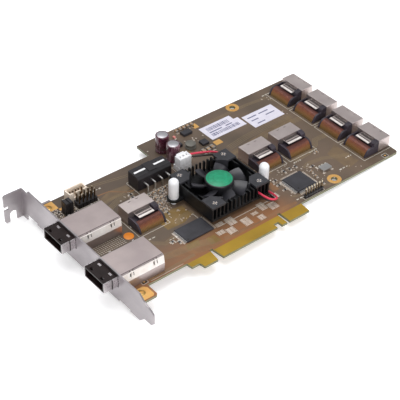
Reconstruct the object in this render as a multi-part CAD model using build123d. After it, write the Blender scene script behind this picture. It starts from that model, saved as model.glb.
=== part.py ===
from build123d import *
import os
from math import cos, hypot, pi, radians, sin, tan

# Storage expander card for a full-height expansion slot. Millimetres.
# x = 0 is the bracket's outer face and +X runs along the card, y = 0 is the board's near
# long edge and +Y runs to its far edge, z = 0 is the board's component face.

# Circuit board
BOARD_LEFT = 1.6
BOARD_LENGTH = 199.2
BOARD_HEIGHT = 98.78
BOARD_LEFT_HEIGHT = 87.0
BOARD_STEP_X = 82.0
BOARD_THICKNESS = 1.57
CORNER_TAB_RIGHT = 15.2
CORNER_TAB_DEPTH = 9.1
CORNER_RADIUS = 1.5
MOUNT_HOLE_RADIUS = 1.75
MOUNT_HOLE_X = 152.6
MOUNT_HOLE_INSET = 4.2

# Edge tongue with its two key slots
TONGUE_DEPTH = 7.9
TONGUE_LEFT = 41.0
TONGUE_RIGHT = 122.4
TONGUE_TAPER = 0.6
LEAD_IN_DEPTH = 3.9
LEAD_IN_LENGTH = 5.6
KEY_X = 58.0
KEY_SPACING = 48.26
KEY_WIDTH = 1.95
KEY_RISE = 1.0
WIDE_KEY_MOUTH = 4.0
NOTCH_WIDTH = 3.4
NOTCH_DEPTH = 4.3
NOTCH_OFFSET = 6.4
TONGUE_BEVEL = 0.35

# Bracket
SHEET = 0.86
BRACKET_TOP = 12.5
BRACKET_WIDTH = 18.42
BEND_Y = 96.0
BRACKET_LENGTH = 121.0
BEND_RADIUS = 0.5
HEAD_TOP = 10.2
HEAD_WIDTH = 19.2
HEAD_DROP = 7.6
HEAD_LOBE = 5.4
FLANGE_LENGTH = 11.43
SCREW_SLOT_WIDTH = 4.42
SCREW_SLOT_X = -5.9
SCREW_SLOT_DEPTH = 6.8
FINGER_NOTCH_HEIGHT = 2.2
FINGER_NOTCH_DEPTH = 2.8
TAIL_TAPER = 11.5
TAIL_WIDTH = 10.4
FOOT_RELIEF = 1.15
FOOT_WIDTH = 9.8
FOOT_REACH = 14.5
FOOT_JOGGLE_START = 2.8
LOW_FOOT_Y = -0.6
HIGH_FOOT_Y = 85.3
RIVET_X = 9.0
LOW_RIVET_INSET = 2.4
HIGH_RIVET_INSET = 2.4
RIVET_BORE = 1.0
RIVET_WALL = 0.45
RIVET_FLANGE = 0.85
RIVET_FLANGE_THICKNESS = 0.35
RIVET_CLEARANCE = 0.05

# Two external ports
PORT_Y = 13.1
PORT_PITCH = 37.5
PORT_COUNT = 2
NOSE_LENGTH = 8.7
NOSE_WIDTH = 17.4
NOSE_BOTTOM = 3.75
NOSE_HEIGHT = 6.95
SHIELD_WALL = 0.45
MOUTH_WALL = 0.9
MOUTH_DEPTH = 7.0
SHIELD_SLOT_X = 3.4
SHIELD_SLOT_WIDTH = 0.5
LATCH_HOLE_LENGTH = 1.5
LATCH_HOLE_WIDTH = 2.2
LATCH_HOLE_SETBACK = 1.8
LATCH_SPACING = 9.2
STAKE_SETBACK = 6.8
STAKE_LENGTH = 1.2
STAKE_PROUD = 0.06
WINDOW_CLEARANCE = 0.3
CAGE_LENGTH = 27.8
CAGE_WIDTH = 18.6
CAGE_HEIGHT = 10.9
CAGE_SHEET = 0.4
CAGE_ROLL = 0.7
CAGE_FLARE = 0.9
CAGE_FLARE_HEIGHT = 5.4
HOOK_X = 7.3
HOOK_SPACING = 14.9
HOOK_WIDTH = 1.3
HOOK_DROP = 3.6
HOOK_RELIEF = 0.7
LEG_LENGTH = 1.5
LEG_WIDTH = 1.0
PORT_CONTACTS = 13
PORT_BLOCK_LENGTH = 16.0
PORT_BLOCK_CLEARANCE = 0.2
PORT_CARD_SLOT = 1.4
PORT_CARD_SLOT_DEPTH = 6.0

# Seven internal ports, three facing the far edge and four on the right end
DRIVE_WIDTH = 17.9
DRIVE_SHELL_DEPTH = 9.1
DRIVE_SHELL_TOP = 7.9
DRIVE_SHELL_BOTTOM = 0.25
DRIVE_SHEET = 0.35
DRIVE_DEPTH = 20.2
DRIVE_TAB_WIDTH = 10.3
DRIVE_TAB_LENGTH = 5.3
DRIVE_TAB_DROP = 1.6
DRIVE_TAB_SLOT = 0.4
DRIVE_TAB_SLOT_SHARES = (0.55, 0.8)
DRIVE_CLEARANCE = 0.1
DRIVE_MOUTH_DEPTH = 6.0
DRIVE_FLOOR = 1.2
DRIVE_CARD_SLOT = 1.2
DRIVE_EAR = 1.75
DRIVE_EAR_PEAK = 7.0
DRIVE_EAR_FALL = 1.1
DRIVE_EAR_CREST = 1.6
DRIVE_EAR_LEAN = 2.0
DRIVE_EAR_TOE_LENGTH = 1.0
DRIVE_EAR_TOE_HEIGHT = 1.5
DRIVE_BLOCK_TOP = 3.8
DRIVE_BANK_TOP = 4.9
DRIVE_SHOULDER = 1.9
DRIVE_BANK_START = 13.2
DRIVE_BANK_END = 18.2
DRIVE_CONTACTS = 18
CONTACT_PITCH = 0.8
CONTACT_WIDTH = 0.46
CONTACT_THICKNESS = 0.22
INNER_PORT_MOUTH_Y = 53.3
INNER_PORT_XS = (44.5, 130.8, 153.9)
END_PORT_INSET = 0.6
END_PORT_Y = 16.0
END_PORT_PITCH = 22.2
END_PORT_COUNT = 4

# Heatsink and its fan, above the expander chip
SINK_X = 91.1
SINK_Y = 34.0
SINK_LENGTH = 40.8
SINK_WIDTH = 37.8
SINK_BASE = 1.5
FIN_COUNT = 16
FIN_THICKNESS = 0.9
FIN_HEIGHT = 6.8
POCKET_RADIUS = 18.0
EAR_RADIUS = 3.8
EAR_REACH = 4.05
PIN_OFFSET_Y = 9.95
CHIP_SIZE = 27.0
CHIP_SUBSTRATE = 1.0
CHIP_LID_SIZE = 22.0
CHIP_LID = 1.25
THERMAL_PAD = 0.25
FAN_PAD_SIZE = 9.6
FAN_PAD_THICKNESS = 1.2
FAN_RING_RADIUS = 16.7
FAN_SCREW_GAPS = 12
FAN_SCREW_PITCH_Y = 31.0
FAN_SCREW_CLEARANCE = 0.06
FAN_SCREW_HEAD = 1.7
FAN_SCREW_LENGTH = 6.0
SCREW_CROSS_ARM = 1.0
SCREW_CROSS_WIDTH = 0.25
SCREW_CROSS_DEPTH = 0.4
FAN_LEG_THICKNESS = 1.0
FAN_LEG_ANGLE = 24.0
DIAGONAL = 45.0
FAN_STRUT_WIDTH = 2.2
FAN_FLOOR_GAP = 0.2
FAN_FLOOR = 0.8
MOTOR_BASE_RADIUS = 8.0
SHAFT_RADIUS = 1.0
SHAFT_CLEARANCE = 0.03
BEARING_WALL = 1.0
STATOR_REACH = 4.95
STATOR_POLE_COUNT = 4
MAGNET_THICKNESS = 0.9
HUB_RADIUS = 8.2
HUB_WALL = 0.8
HUB_GAP = 0.4
HUB_TOP = 11.7
HUB_SIDES = 28
BLADE_COUNT = 7
BLADE_RADIUS = 15.9
BLADE_THICKNESS = 0.65
BLADE_ROOT_CHORD = 6.2
BLADE_TIP_CHORD = 10.2
BLADE_CAMBER = 1.1
BLADE_PITCH = 32.0
BLADE_SWEEP = 2.4
LABEL_RADIUS = 7.5
LABEL_THICKNESS = 0.1
PUSH_PIN_RADIUS = 2.9
PUSH_PIN_HEIGHT = 12.9
PUSH_PIN_SHANK = 1.5
PUSH_PIN_TIP = 2.6
PUSH_PIN_SLIT = 0.52
PUSH_PIN_BARB = 0.5
PUSH_PIN_POINT = 0.9
PUSH_PIN_SIDES = 16
PIN_HOLE_CLEARANCE = 0.2
DOME_STEPS = 4

# Four-pin power header
POWER_X = 57.0
POWER_Y = 63.9
POWER_LENGTH = 23.8
POWER_DEPTH = 9.3
POWER_HEIGHT = 9.0
POWER_WALL = 1.2
POWER_PITCH = 5.08
POWER_PIN_COUNT = 4
POWER_PIN_RADIUS = 1.05
POWER_TAIL_RADIUS = 0.6
POWER_PIN_HEIGHT = 4.6
POWER_PIN_LENGTH = 3.4
POWER_TAIL_SETBACK = 3.6
POWER_TOP_SLOT = 8.0
POWER_TOP_SLOT_WIDTH = 1.6
POWER_RAISED = 0.5
POWER_CHAMFER = 1.4

# Fan header, plug and leads
FAN_HEADER_X = 86.0
FAN_HEADER_Y = 62.6
FAN_HEADER_LENGTH = 8.6
FAN_HEADER_DEPTH = 6.0
FAN_HEADER_BASE = 3.0
FAN_HEADER_LATCH = 0.8
FAN_PLUG_TOP = 9.2
FAN_PLUG_CLEARANCE = 0.15
FAN_PIN_PITCH = 2.54
LEAD_DIAMETER = 1.2
LEAD_SIDES = 6
LEAD_BEND_SHARE = 0.45

# Small connectors
SQUARE_PIN = 0.64
PIN_TAIL = 1.4
SERVICE_X = 20.1
SERVICE_Y = 77.4
SERVICE_DEPTH = 5.8
SERVICE_HEIGHT = 7.0
SERVICE_PITCH = 2.0
SERVICE_PIN_COUNT = 5
SERVICE_END = 1.95
SERVICE_WALL = 0.8
SERVICE_FLOOR = 1.6
SERVICE_KEY_SHARE = 0.3
HEADER_PITCH = 2.54
HEADER_BASE = 2.5
HEADER_PIN_TOP = 8.5
HEADER_X = 23.4
HEADER_Y = 72.8
HEADER_COLUMN_COUNT = 5
JUMPER_X = 14.4
JUMPER_Y = 71.8
JUMPER_TOP = 8.2
JUMPER_INSET = 0.15
EDGE_HEADER_X = 128.0
EDGE_HEADER_Y = 1.9
EDGE_HEADER_PITCH = 2.0
EDGE_HEADER_PIN_COUNT = 7
EDGE_HEADER_BASE = 2.0
EDGE_HEADER_TOP = 6.8

# Chips, capacitors and other parts on the board
CONTROLLER_X = 134.15
CONTROLLER_Y = 14.05
CONTROLLER_SIZE = 14.0
CONTROLLER_HEIGHT = 1.4
CONTROLLER_LEADS = 16
CONTROLLER_PITCH = 0.8
FLASH_X = 60.6
FLASH_Y = 18.3
FLASH_LENGTH = 18.4
FLASH_WIDTH = 12.0
FLASH_HEIGHT = 1.1
FLASH_LEADS = 20
FLASH_PITCH = 0.56
CHIP_STANDOFF = 0.12
LEAD_REACH = 1.0
LEAD_SHEET = 0.15
LEAD_WIDTH_SHARE = 0.45
CAN_RADIUS = 4.1
CAN_HEIGHT = 11.6
CAN_GROOVE_DEPTH = 0.35
CAN_GROOVE_HEIGHT = 1.6
CAN_ROLL = 0.5
CAN_LEAD_PITCH = 3.5
CAN_LEAD_RADIUS = 0.3
CAN_SIDES = 24
CAN_PLACES = ((91.3, BOARD_HEIGHT - 12.6), (90.9, BOARD_HEIGHT - 23.5))
OSCILLATOR_X = 155.0
OSCILLATOR_Y = 14.4
OSCILLATOR_LENGTH = 7.0
OSCILLATOR_WIDTH = 5.0
OSCILLATOR_HEIGHT = 1.5
INDUCTOR_X = 106.6
INDUCTOR_Y = 78.6
INDUCTOR_RADIUS = 3.3
INDUCTOR_HEIGHT = 3.0
PAPER = 0.1
STICKER_X = 30.1
STICKER_Y = 36.4
STICKER_RADIUS = 2.9
LABEL_HEIGHT = 13.3
LONG_LABEL_X = 121.4
LONG_LABEL_Y = 76.0
LONG_LABEL_LENGTH = 27.0
LONG_LABEL_STEP = 3.2
SHORT_LABEL_X = 149.9
SHORT_LABEL_Y = 69.6
SHORT_LABEL_LENGTH = 23.8
HOLE_CLEARANCE = 0.06
HOLE_SIDES = 8
FINE_SIDES = 12
RIVET_SIDES = 16

# Small parts as (x, y, length along X, length along Y, height)
CERAMIC_PLACES = (
    (109.0, BOARD_HEIGHT - 3.2, 1.6, 3.2, 1.6), (111.9, BOARD_HEIGHT - 3.2, 1.6, 3.2, 1.6),
    (114.8, BOARD_HEIGHT - 3.2, 1.6, 3.2, 1.6), (117.7, BOARD_HEIGHT - 3.2, 1.6, 3.2, 1.6),
    (120.6, BOARD_HEIGHT - 3.2, 1.6, 3.2, 1.6), (99.0, BOARD_HEIGHT - 8.6, 1.4, 2.2, 1.1),
    (109.3, 69.4, 2.0, 3.4, 1.8), (112.7, 69.2, 2.0, 3.4, 1.8), (116.1, 69.6, 2.0, 3.4, 1.8),
    (62.8, 57.0, 1.4, 2.2, 1.2), (66.2, 56.6, 1.4, 2.2, 1.2), (70.6, 57.2, 2.2, 1.4, 1.2),
    (61.0, 52.6, 1.3, 2.0, 1.1), (63.8, 51.2, 1.3, 2.0, 1.1), (60.2, 46.8, 2.0, 1.3, 1.1), (58.8, 42.2, 1.3, 2.0, 1.1),
    (161.7, 28.9, 2.0, 1.2, 0.9), (146.6, 16.8, 1.2, 2.0, 0.9), (145.8, 12.2, 1.2, 2.0, 0.9),
)
RESISTOR_PLACES = (
    (51.9, 64.3, 2.0, 1.2, 0.5), (51.3, 61.6, 2.0, 1.2, 0.5), (12.3, 67.6, 1.2, 2.0, 0.5),
    (14.8, 67.6, 1.2, 2.0, 0.5), (17.6, 67.6, 1.2, 2.0, 0.5), (66.4, 50.2, 1.0, 1.8, 0.5),
    (64.4, 46.6, 1.0, 1.8, 0.5), (58.6, 38.6, 1.0, 1.8, 0.5), (45.6, 18.2, 2.0, 1.2, 0.5),
    (48.6, 15.6, 1.2, 2.0, 0.5), (124.3, 23.6, 2.0, 1.1, 0.5), (123.4, 19.4, 2.0, 1.1, 0.5),
    (123.4, 14.2, 2.0, 1.1, 0.5), (134.4, 26.8, 1.1, 2.0, 0.5), (138.6, 26.6, 1.1, 2.0, 0.5),
    (142.8, 26.4, 1.1, 2.0, 0.5), (145.0, 5.6, 1.1, 2.0, 0.5), (150.6, 20.6, 2.0, 1.1, 0.5),
)
POWER_CHIP_PLACES = (
    (112.9, BOARD_HEIGHT - 8.2, 6.4, 4.0, 1.7), (101.6, 84.4, 3.4, 5.0, 1.8),
    (115.3, 76.6, 4.6, 4.4, 1.5), (69.4, 46.2, 3.0, 2.8, 1.2),
)
LAMP_PLACE = (104.6, BOARD_HEIGHT - 7.2, 1.2, 2.0, 0.9)

BOARD_BOTTOM = -BOARD_THICKNESS
BOARD_RIGHT = BOARD_LEFT + BOARD_LENGTH
BRACKET_BOTTOM = BRACKET_TOP - BRACKET_WIDTH
CHIP_TOP = CHIP_SUBSTRATE + CHIP_LID
SINK_BOTTOM = CHIP_TOP + THERMAL_PAD
SINK_FLOOR = SINK_BOTTOM + SINK_BASE
FIN_TOP = SINK_FLOOR + FIN_HEIGHT
FIN_PITCH = (SINK_LENGTH - FIN_THICKNESS) / (FIN_COUNT - 1)
FAN_SCREW_RADIUS = (FIN_PITCH - FIN_THICKNESS) / 2 - FAN_SCREW_CLEARANCE
PIN_OFFSET_X = SINK_LENGTH / 2 + EAR_REACH
FAN_TOP = FIN_TOP + FAN_PAD_THICKNESS
FAN_FLOOR_TOP = SINK_FLOOR + FAN_FLOOR_GAP + FAN_FLOOR
HEAD_BOTTOM = HEAD_TOP - HEAD_WIDTH


def block(x0, x1, y0, y1, z0, z1):
    centre = Pos((x0 + x1) / 2, (y0 + y1) / 2, (z0 + z1) / 2)
    return centre * Box(x1 - x0, y1 - y0, z1 - z0)


def rectangle(x0, x1, y0, y1):
    return Pos((x0 + x1) / 2, (y0 + y1) / 2) * Rectangle(x1 - x0, y1 - y0)


def outline(points):
    return make_face(Polyline(*points, close=True))


def along_x(face, x0, x1):
    """Extrude a (y, z) outline from x0 to x1."""
    return extrude(Plane.YZ.offset(x0) * face, amount=x1 - x0)


def along_y(face, y0, y1):
    """Extrude an (x, z) outline from y0 to y1."""
    return extrude(Plane.XZ.offset(-y1) * face, amount=y1 - y0)


def along_z(face, z0, z1):
    return extrude(Plane.XY.offset(z0) * face, amount=z1 - z0)


def rod(x, y, radius, z0, z1):
    return Pos(x, y, (z0 + z1) / 2) * Cylinder(radius, z1 - z0)


def bar(x, y, radius, z0, z1, sides=FINE_SIDES):
    """Small round bar, drawn with flats."""
    return along_z(Pos(x, y) * RegularPolygon(radius, sides), z0, z1)


def hole(x, y, radius, sides=HOLE_SIDES):
    """Outline of a small hole with flats that clear a bar of the given radius."""
    return Pos(x, y) * RegularPolygon(radius, sides, major_radius=False)


def skinned(rings):
    """Solid with flat faces through a row of like polygons."""
    faces = [make_face(Polyline(*ring, close=True)).face() for ring in (rings[0], rings[-1])]
    for low, high in zip(rings, rings[1:]):
        for i in range(len(low)):
            side = Polyline(low[i - 1], low[i], high[i], high[i - 1], close=True)
            faces.append(make_face(side).face())
    return Solid(Shell(faces))


def turned(x, y, profile, sides):
    """Round form about a vertical line, drawn with flats, from (radius, z) steps."""
    angles = [2 * pi * i / sides for i in range(sides)]
    return skinned([[(x + radius * cos(angle), y + radius * sin(angle), z) for angle in angles]
                    for radius, z in profile])


def ribbon_points(path, thickness):
    """Corners of a bent strip whose outer side follows the path and whose inner side is on its right."""
    sides = []
    for (x0, y0), (x1, y1) in zip(path, path[1:]):
        length = hypot(x1 - x0, y1 - y0)
        sides.append(((y1 - y0) / length, -(x1 - x0) / length))
    inner = []
    for i, (x, y) in enumerate(path):
        before = sides[max(i - 1, 0)]
        after = sides[min(i, len(sides) - 1)]
        scale = thickness / (1 + before[0] * after[0] + before[1] * after[1])
        inner.append((x + (before[0] + after[0]) * scale, y + (before[1] + after[1]) * scale))
    return list(path) + inner[::-1]


def ribbon(path, thickness):
    return outline(ribbon_points(path, thickness))


def group(solids):
    return Compound([solid for shape in solids for solid in shape.solids()])


def save(name, shape):
    export_step(shape, f"parts/{name}.step")


# Places that several pieces share

def port_centres():
    return [PORT_Y + i * PORT_PITCH for i in range(PORT_COUNT)]


def cage_leg_places():
    """Centres of the cage legs, which stand in holes of the board."""
    side = CAGE_WIDTH / 2 + CAGE_FLARE - CAGE_SHEET / 2
    places = []
    for centre in port_centres():
        for x in (SHEET + HOOK_X, SHEET + HOOK_X + HOOK_SPACING):
            places += [(x, centre - side), (x, centre + side)]
    return places


def power_tail_places():
    middle = POWER_X + POWER_LENGTH / 2
    first = middle - POWER_PITCH * (POWER_PIN_COUNT - 1) / 2
    return [(first + i * POWER_PITCH, POWER_Y - POWER_TAIL_SETBACK) for i in range(POWER_PIN_COUNT)]


def fan_pin_places():
    middle = FAN_HEADER_X + FAN_HEADER_LENGTH / 2
    y = FAN_HEADER_Y + (FAN_HEADER_DEPTH - FAN_HEADER_LATCH) / 2
    return [(middle + (i - 1) * FAN_PIN_PITCH, y) for i in range(3)]


def service_pin_places():
    y = SERVICE_Y + SERVICE_DEPTH / 2
    return [(SERVICE_X + SERVICE_END + i * SERVICE_PITCH, y) for i in range(SERVICE_PIN_COUNT)]


def header_pin_places():
    return [(HEADER_X + i * HEADER_PITCH, HEADER_Y + j * HEADER_PITCH)
            for i in range(HEADER_COLUMN_COUNT) for j in range(2)]


def jumper_pin_places():
    return [(JUMPER_X + i * HEADER_PITCH, JUMPER_Y + j * HEADER_PITCH)
            for i in range(2) for j in range(2)]


def edge_pin_places():
    return [(EDGE_HEADER_X + i * EDGE_HEADER_PITCH, EDGE_HEADER_Y) for i in range(EDGE_HEADER_PIN_COUNT)]


def can_lead_places():
    return [(x + side * CAN_LEAD_PITCH / 2, y) for x, y in CAN_PLACES for side in (-1, 1)]


def push_pin_places():
    return [(SINK_X - PIN_OFFSET_X, SINK_Y + PIN_OFFSET_Y), (SINK_X + PIN_OFFSET_X, SINK_Y - PIN_OFFSET_Y)]


def rivet_places():
    return [(RIVET_X, LOW_FOOT_Y - LOW_RIVET_INSET), (RIVET_X, HIGH_FOOT_Y - HIGH_RIVET_INSET)]


def mount_hole_places():
    return [(MOUNT_HOLE_X, MOUNT_HOLE_INSET), (MOUNT_HOLE_X, BOARD_HEIGHT - MOUNT_HOLE_INSET)]


def fan_screw_places():
    pitch_x = FAN_SCREW_GAPS * FIN_PITCH
    return [(SINK_X + sx * pitch_x / 2, SINK_Y + sy * FAN_SCREW_PITCH_Y / 2)
            for sx in (-1, 1) for sy in (-1, 1)]


# Board and bracket

def tongue_outline():
    notch = KEY_X + KEY_SPACING - NOTCH_OFFSET
    tongue = outline([
        (TONGUE_LEFT, 0), (TONGUE_LEFT + TONGUE_TAPER, -LEAD_IN_DEPTH),
        (TONGUE_LEFT + LEAD_IN_LENGTH, -LEAD_IN_DEPTH),
        (TONGUE_LEFT + LEAD_IN_LENGTH + TONGUE_TAPER, -TONGUE_DEPTH),
        (TONGUE_RIGHT - TONGUE_TAPER, -TONGUE_DEPTH), (TONGUE_RIGHT, 0),
    ])
    wide_key = outline([
        (KEY_X - WIDE_KEY_MOUTH / 2, -TONGUE_DEPTH), (KEY_X + WIDE_KEY_MOUTH / 2, -TONGUE_DEPTH),
        (KEY_X + KEY_WIDTH / 2, 0), (KEY_X - KEY_WIDTH / 2, 0),
    ])
    return tongue - wide_key - rectangle(notch - NOTCH_WIDTH / 2, notch + NOTCH_WIDTH / 2,
                                         -TONGUE_DEPTH, -NOTCH_DEPTH)


def circuit_board():
    left_part = rectangle(BOARD_LEFT, BOARD_RIGHT, 0, BOARD_LEFT_HEIGHT)
    tall_part = rectangle(BOARD_STEP_X, BOARD_RIGHT, 0, BOARD_HEIGHT)
    corner_tab = rectangle(BOARD_LEFT, CORNER_TAB_RIGHT, -CORNER_TAB_DEPTH, 0)
    face = left_part + tall_part + corner_tab + tongue_outline()
    for key in (KEY_X, KEY_X + KEY_SPACING):
        face -= rectangle(key - KEY_WIDTH / 2, key + KEY_WIDTH / 2, -TONGUE_DEPTH, KEY_RISE)
    corners = [(CORNER_TAB_RIGHT, -CORNER_TAB_DEPTH), (BOARD_RIGHT, 0), (BOARD_RIGHT, BOARD_HEIGHT)]
    near = CORNER_RADIUS / 10
    rounded = [v for v in face.vertices() if any(hypot(v.X - x, v.Y - y) < near for x, y in corners)]
    face = fillet(rounded, CORNER_RADIUS)
    half_pin = SQUARE_PIN / 2 + HOLE_CLEARANCE
    for x, y in (fan_pin_places() + service_pin_places() + header_pin_places() + jumper_pin_places()
                 + edge_pin_places()):
        face -= rectangle(x - half_pin, x + half_pin, y - half_pin, y + half_pin)
    holes = [(place, POWER_TAIL_RADIUS + HOLE_CLEARANCE) for place in power_tail_places()]
    holes += [(place, CAN_LEAD_RADIUS + HOLE_CLEARANCE) for place in can_lead_places()]
    holes += [(place, hypot(LEG_WIDTH, CAGE_SHEET) / 2 + HOLE_CLEARANCE) for place in cage_leg_places()]
    for (x, y), radius in holes:
        face -= hole(x, y, radius)
    for x, y in push_pin_places():
        face -= hole(x, y, PUSH_PIN_SHANK + PIN_HOLE_CLEARANCE, FINE_SIDES)
    for x, y in rivet_places():
        face -= hole(x, y, RIVET_BORE + RIVET_WALL + RIVET_CLEARANCE, RIVET_SIDES)
    for x, y in mount_hole_places():
        face -= Pos(x, y) * Circle(MOUNT_HOLE_RADIUS)
    board = along_z(face, BOARD_BOTTOM, 0)
    tip = [edge for edge in board.edges()
           if abs(edge.center().Y + TONGUE_DEPTH) < TONGUE_BEVEL / 10 and edge.length > TONGUE_BEVEL * 2
           and abs(edge.center().Z - BOARD_BOTTOM / 2) > BOARD_THICKNESS / 4]
    return chamfer(tip, TONGUE_BEVEL)


def bracket_upright():
    """Outline of the bracket's long leg, as (y, z)."""
    tip = BEND_Y - BRACKET_LENGTH
    tail_top = BRACKET_TOP - BRACKET_WIDTH / 2 + TAIL_WIDTH / 2
    tail_bottom = tail_top - TAIL_WIDTH
    round_off = TAIL_WIDTH / 5
    face = outline([
        (BEND_Y, HEAD_TOP), (BEND_Y - HEAD_DROP, HEAD_TOP), (BEND_Y - HEAD_DROP, BRACKET_TOP),
        (tip + TAIL_TAPER, BRACKET_TOP), (tip + TAIL_TAPER * 2 / 3, tail_top + round_off / 2),
        (tip + TAIL_TAPER / 3, tail_top), (tip, tail_top - round_off), (tip, tail_bottom + round_off),
        (tip + round_off, tail_bottom), (tip + TAIL_TAPER * 2 / 3, tail_bottom),
        (tip + TAIL_TAPER, BRACKET_BOTTOM), (BEND_Y, BRACKET_BOTTOM),
    ])
    low = BRACKET_BOTTOM + FOOT_RELIEF
    for foot in (LOW_FOOT_Y, HIGH_FOOT_Y):
        face -= rectangle(foot - FOOT_WIDTH / 2, foot + FOOT_WIDTH / 2, BRACKET_BOTTOM, low)
    return face + rectangle(BEND_Y - HEAD_LOBE, BEND_Y, HEAD_BOTTOM, low)


def bracket_flange():
    """Outline of the flange that screws to the chassis, as (x, z), with its slot and finger."""
    radius = SCREW_SLOT_WIDTH / 2
    slot_top = HEAD_BOTTOM + SCREW_SLOT_DEPTH
    face = rectangle(-FLANGE_LENGTH, SHEET, HEAD_BOTTOM, HEAD_TOP)
    outer = [v for v in face.vertices() if v.X < 0]
    face = fillet(outer, CORNER_RADIUS)
    face -= rectangle(SCREW_SLOT_X - radius, SCREW_SLOT_X + radius, HEAD_BOTTOM, slot_top - radius)
    face -= Pos(SCREW_SLOT_X, slot_top - radius) * Circle(radius)
    notch_bottom = slot_top + FINGER_NOTCH_HEIGHT
    return face - rectangle(-FLANGE_LENGTH, -FLANGE_LENGTH + FINGER_NOTCH_DEPTH,
                            notch_bottom, notch_bottom + FINGER_NOTCH_HEIGHT)


def bracket():
    plate = along_x(bracket_upright(), 0, SHEET)
    flange = along_y(bracket_flange(), BEND_Y - SHEET, BEND_Y)
    body = plate + flange
    outer_bend = [e for e in body.edges() if abs(e.center().X - SHEET) < SHEET / 20
                  and abs(e.center().Y - BEND_Y) < SHEET / 20 and e.length > HEAD_WIDTH / 2]
    body = fillet(outer_bend, BEND_RADIUS + SHEET / 2)
    half_width = NOSE_WIDTH / 2 + WINDOW_CLEARANCE
    for centre in port_centres():
        body -= block(-SHEET, 2 * SHEET, centre - half_width, centre + half_width,
                      NOSE_BOTTOM - WINDOW_CLEARANCE, NOSE_BOTTOM + NOSE_HEIGHT + WINDOW_CLEARANCE)
    low = BRACKET_BOTTOM + FOOT_RELIEF
    rise = BOARD_BOTTOM - SHEET - low
    profile = ribbon([(FOOT_REACH, BOARD_BOTTOM - SHEET), (FOOT_JOGGLE_START + rise, BOARD_BOTTOM - SHEET),
                      (FOOT_JOGGLE_START, low), (0, low)], SHEET)
    for foot in (LOW_FOOT_Y, HIGH_FOOT_Y):
        body += along_y(profile, foot - FOOT_WIDTH / 2, foot + FOOT_WIDTH / 2)
    for x, y in rivet_places():
        body -= along_z(hole(x, y, RIVET_BORE + RIVET_WALL + RIVET_CLEARANCE, RIVET_SIDES), low - SHEET, 0)
    return body


def rivet(x, y):
    """Hollow rivet: flat flange under the bracket's foot, barrel, and rolled flange on the board."""
    barrel = RIVET_BORE + RIVET_WALL
    flange = barrel + RIVET_FLANGE
    bottom = BOARD_BOTTOM - SHEET
    body = bar(x, y, flange, bottom - RIVET_FLANGE_THICKNESS, bottom, RIVET_SIDES)
    body += bar(x, y, barrel, bottom, 0, RIVET_SIDES)
    body += turned(x, y, [(flange, 0), (barrel, RIVET_FLANGE_THICKNESS)], RIVET_SIDES)
    return body - bar(x, y, RIVET_BORE, bottom - RIVET_FLANGE_THICKNESS, RIVET_FLANGE_THICKNESS, RIVET_SIDES)


# External ports

def cage_profile(inset):
    """Cross-section of a cage as (y, z) about its centre line, drawn in by the sheet where inset."""
    top = CAGE_HEIGHT - inset
    narrow = CAGE_WIDTH / 2 - inset
    wide = narrow + CAGE_FLARE
    face = outline([(-wide, 0), (wide, 0), (wide, CAGE_FLARE_HEIGHT), (narrow, top), (-narrow, top),
                    (-wide, CAGE_FLARE_HEIGHT)])
    return chamfer([v for v in face.vertices() if v.Y > top - CAGE_ROLL / 10], CAGE_ROLL - inset / 2)


def port_cage(centre):
    back = SHEET + CAGE_LENGTH
    cage = along_x(Pos(centre, 0) * cage_profile(0), SHEET, back)
    cage -= along_x(Pos(centre, 0) * cage_profile(CAGE_SHEET), SHEET, back - CAGE_SHEET)
    slope = CAGE_FLARE / (CAGE_HEIGHT - CAGE_FLARE_HEIGHT)
    wall = [(CAGE_WIDTH / 2 + slope * drop, CAGE_HEIGHT - drop) for drop in (CAGE_ROLL * 2, HOOK_DROP)]
    for x in (SHEET + HOOK_X, SHEET + HOOK_X + HOOK_SPACING):
        for side in (-1, 1):
            near, far = sorted(centre + side * reach
                               for reach in (CAGE_WIDTH / 2 - CAGE_ROLL, wall[1][0] + CAGE_SHEET))
            for edge in (-1, 1):
                slot_x = x + edge * (HOOK_WIDTH + HOOK_RELIEF) / 2
                cage -= block(slot_x - HOOK_RELIEF / 2, slot_x + HOOK_RELIEF / 2, near, far,
                              CAGE_HEIGHT - HOOK_DROP, CAGE_HEIGHT + CAGE_SHEET)
            hook = outline([(centre + side * wall[0][0], wall[0][1]),
                            (centre + side * (wall[0][0] + CAGE_SHEET), wall[0][1] - CAGE_SHEET),
                            (centre + side * (wall[1][0] + CAGE_SHEET), wall[1][1]),
                            (centre + side * (wall[1][0] - CAGE_SHEET / 2), wall[1][1])])
            cage += along_x(hook, x - HOOK_WIDTH / 2, x + HOOK_WIDTH / 2)
    for x, y in cage_leg_places():
        if abs(y - centre) < CAGE_WIDTH:
            cage += block(x - LEG_WIDTH / 2, x + LEG_WIDTH / 2, y - CAGE_SHEET / 2, y + CAGE_SHEET / 2,
                          -LEG_LENGTH, 0)
    return cage


def latch_offsets():
    return (-LATCH_SPACING / 2, LATCH_SPACING / 2)


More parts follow.
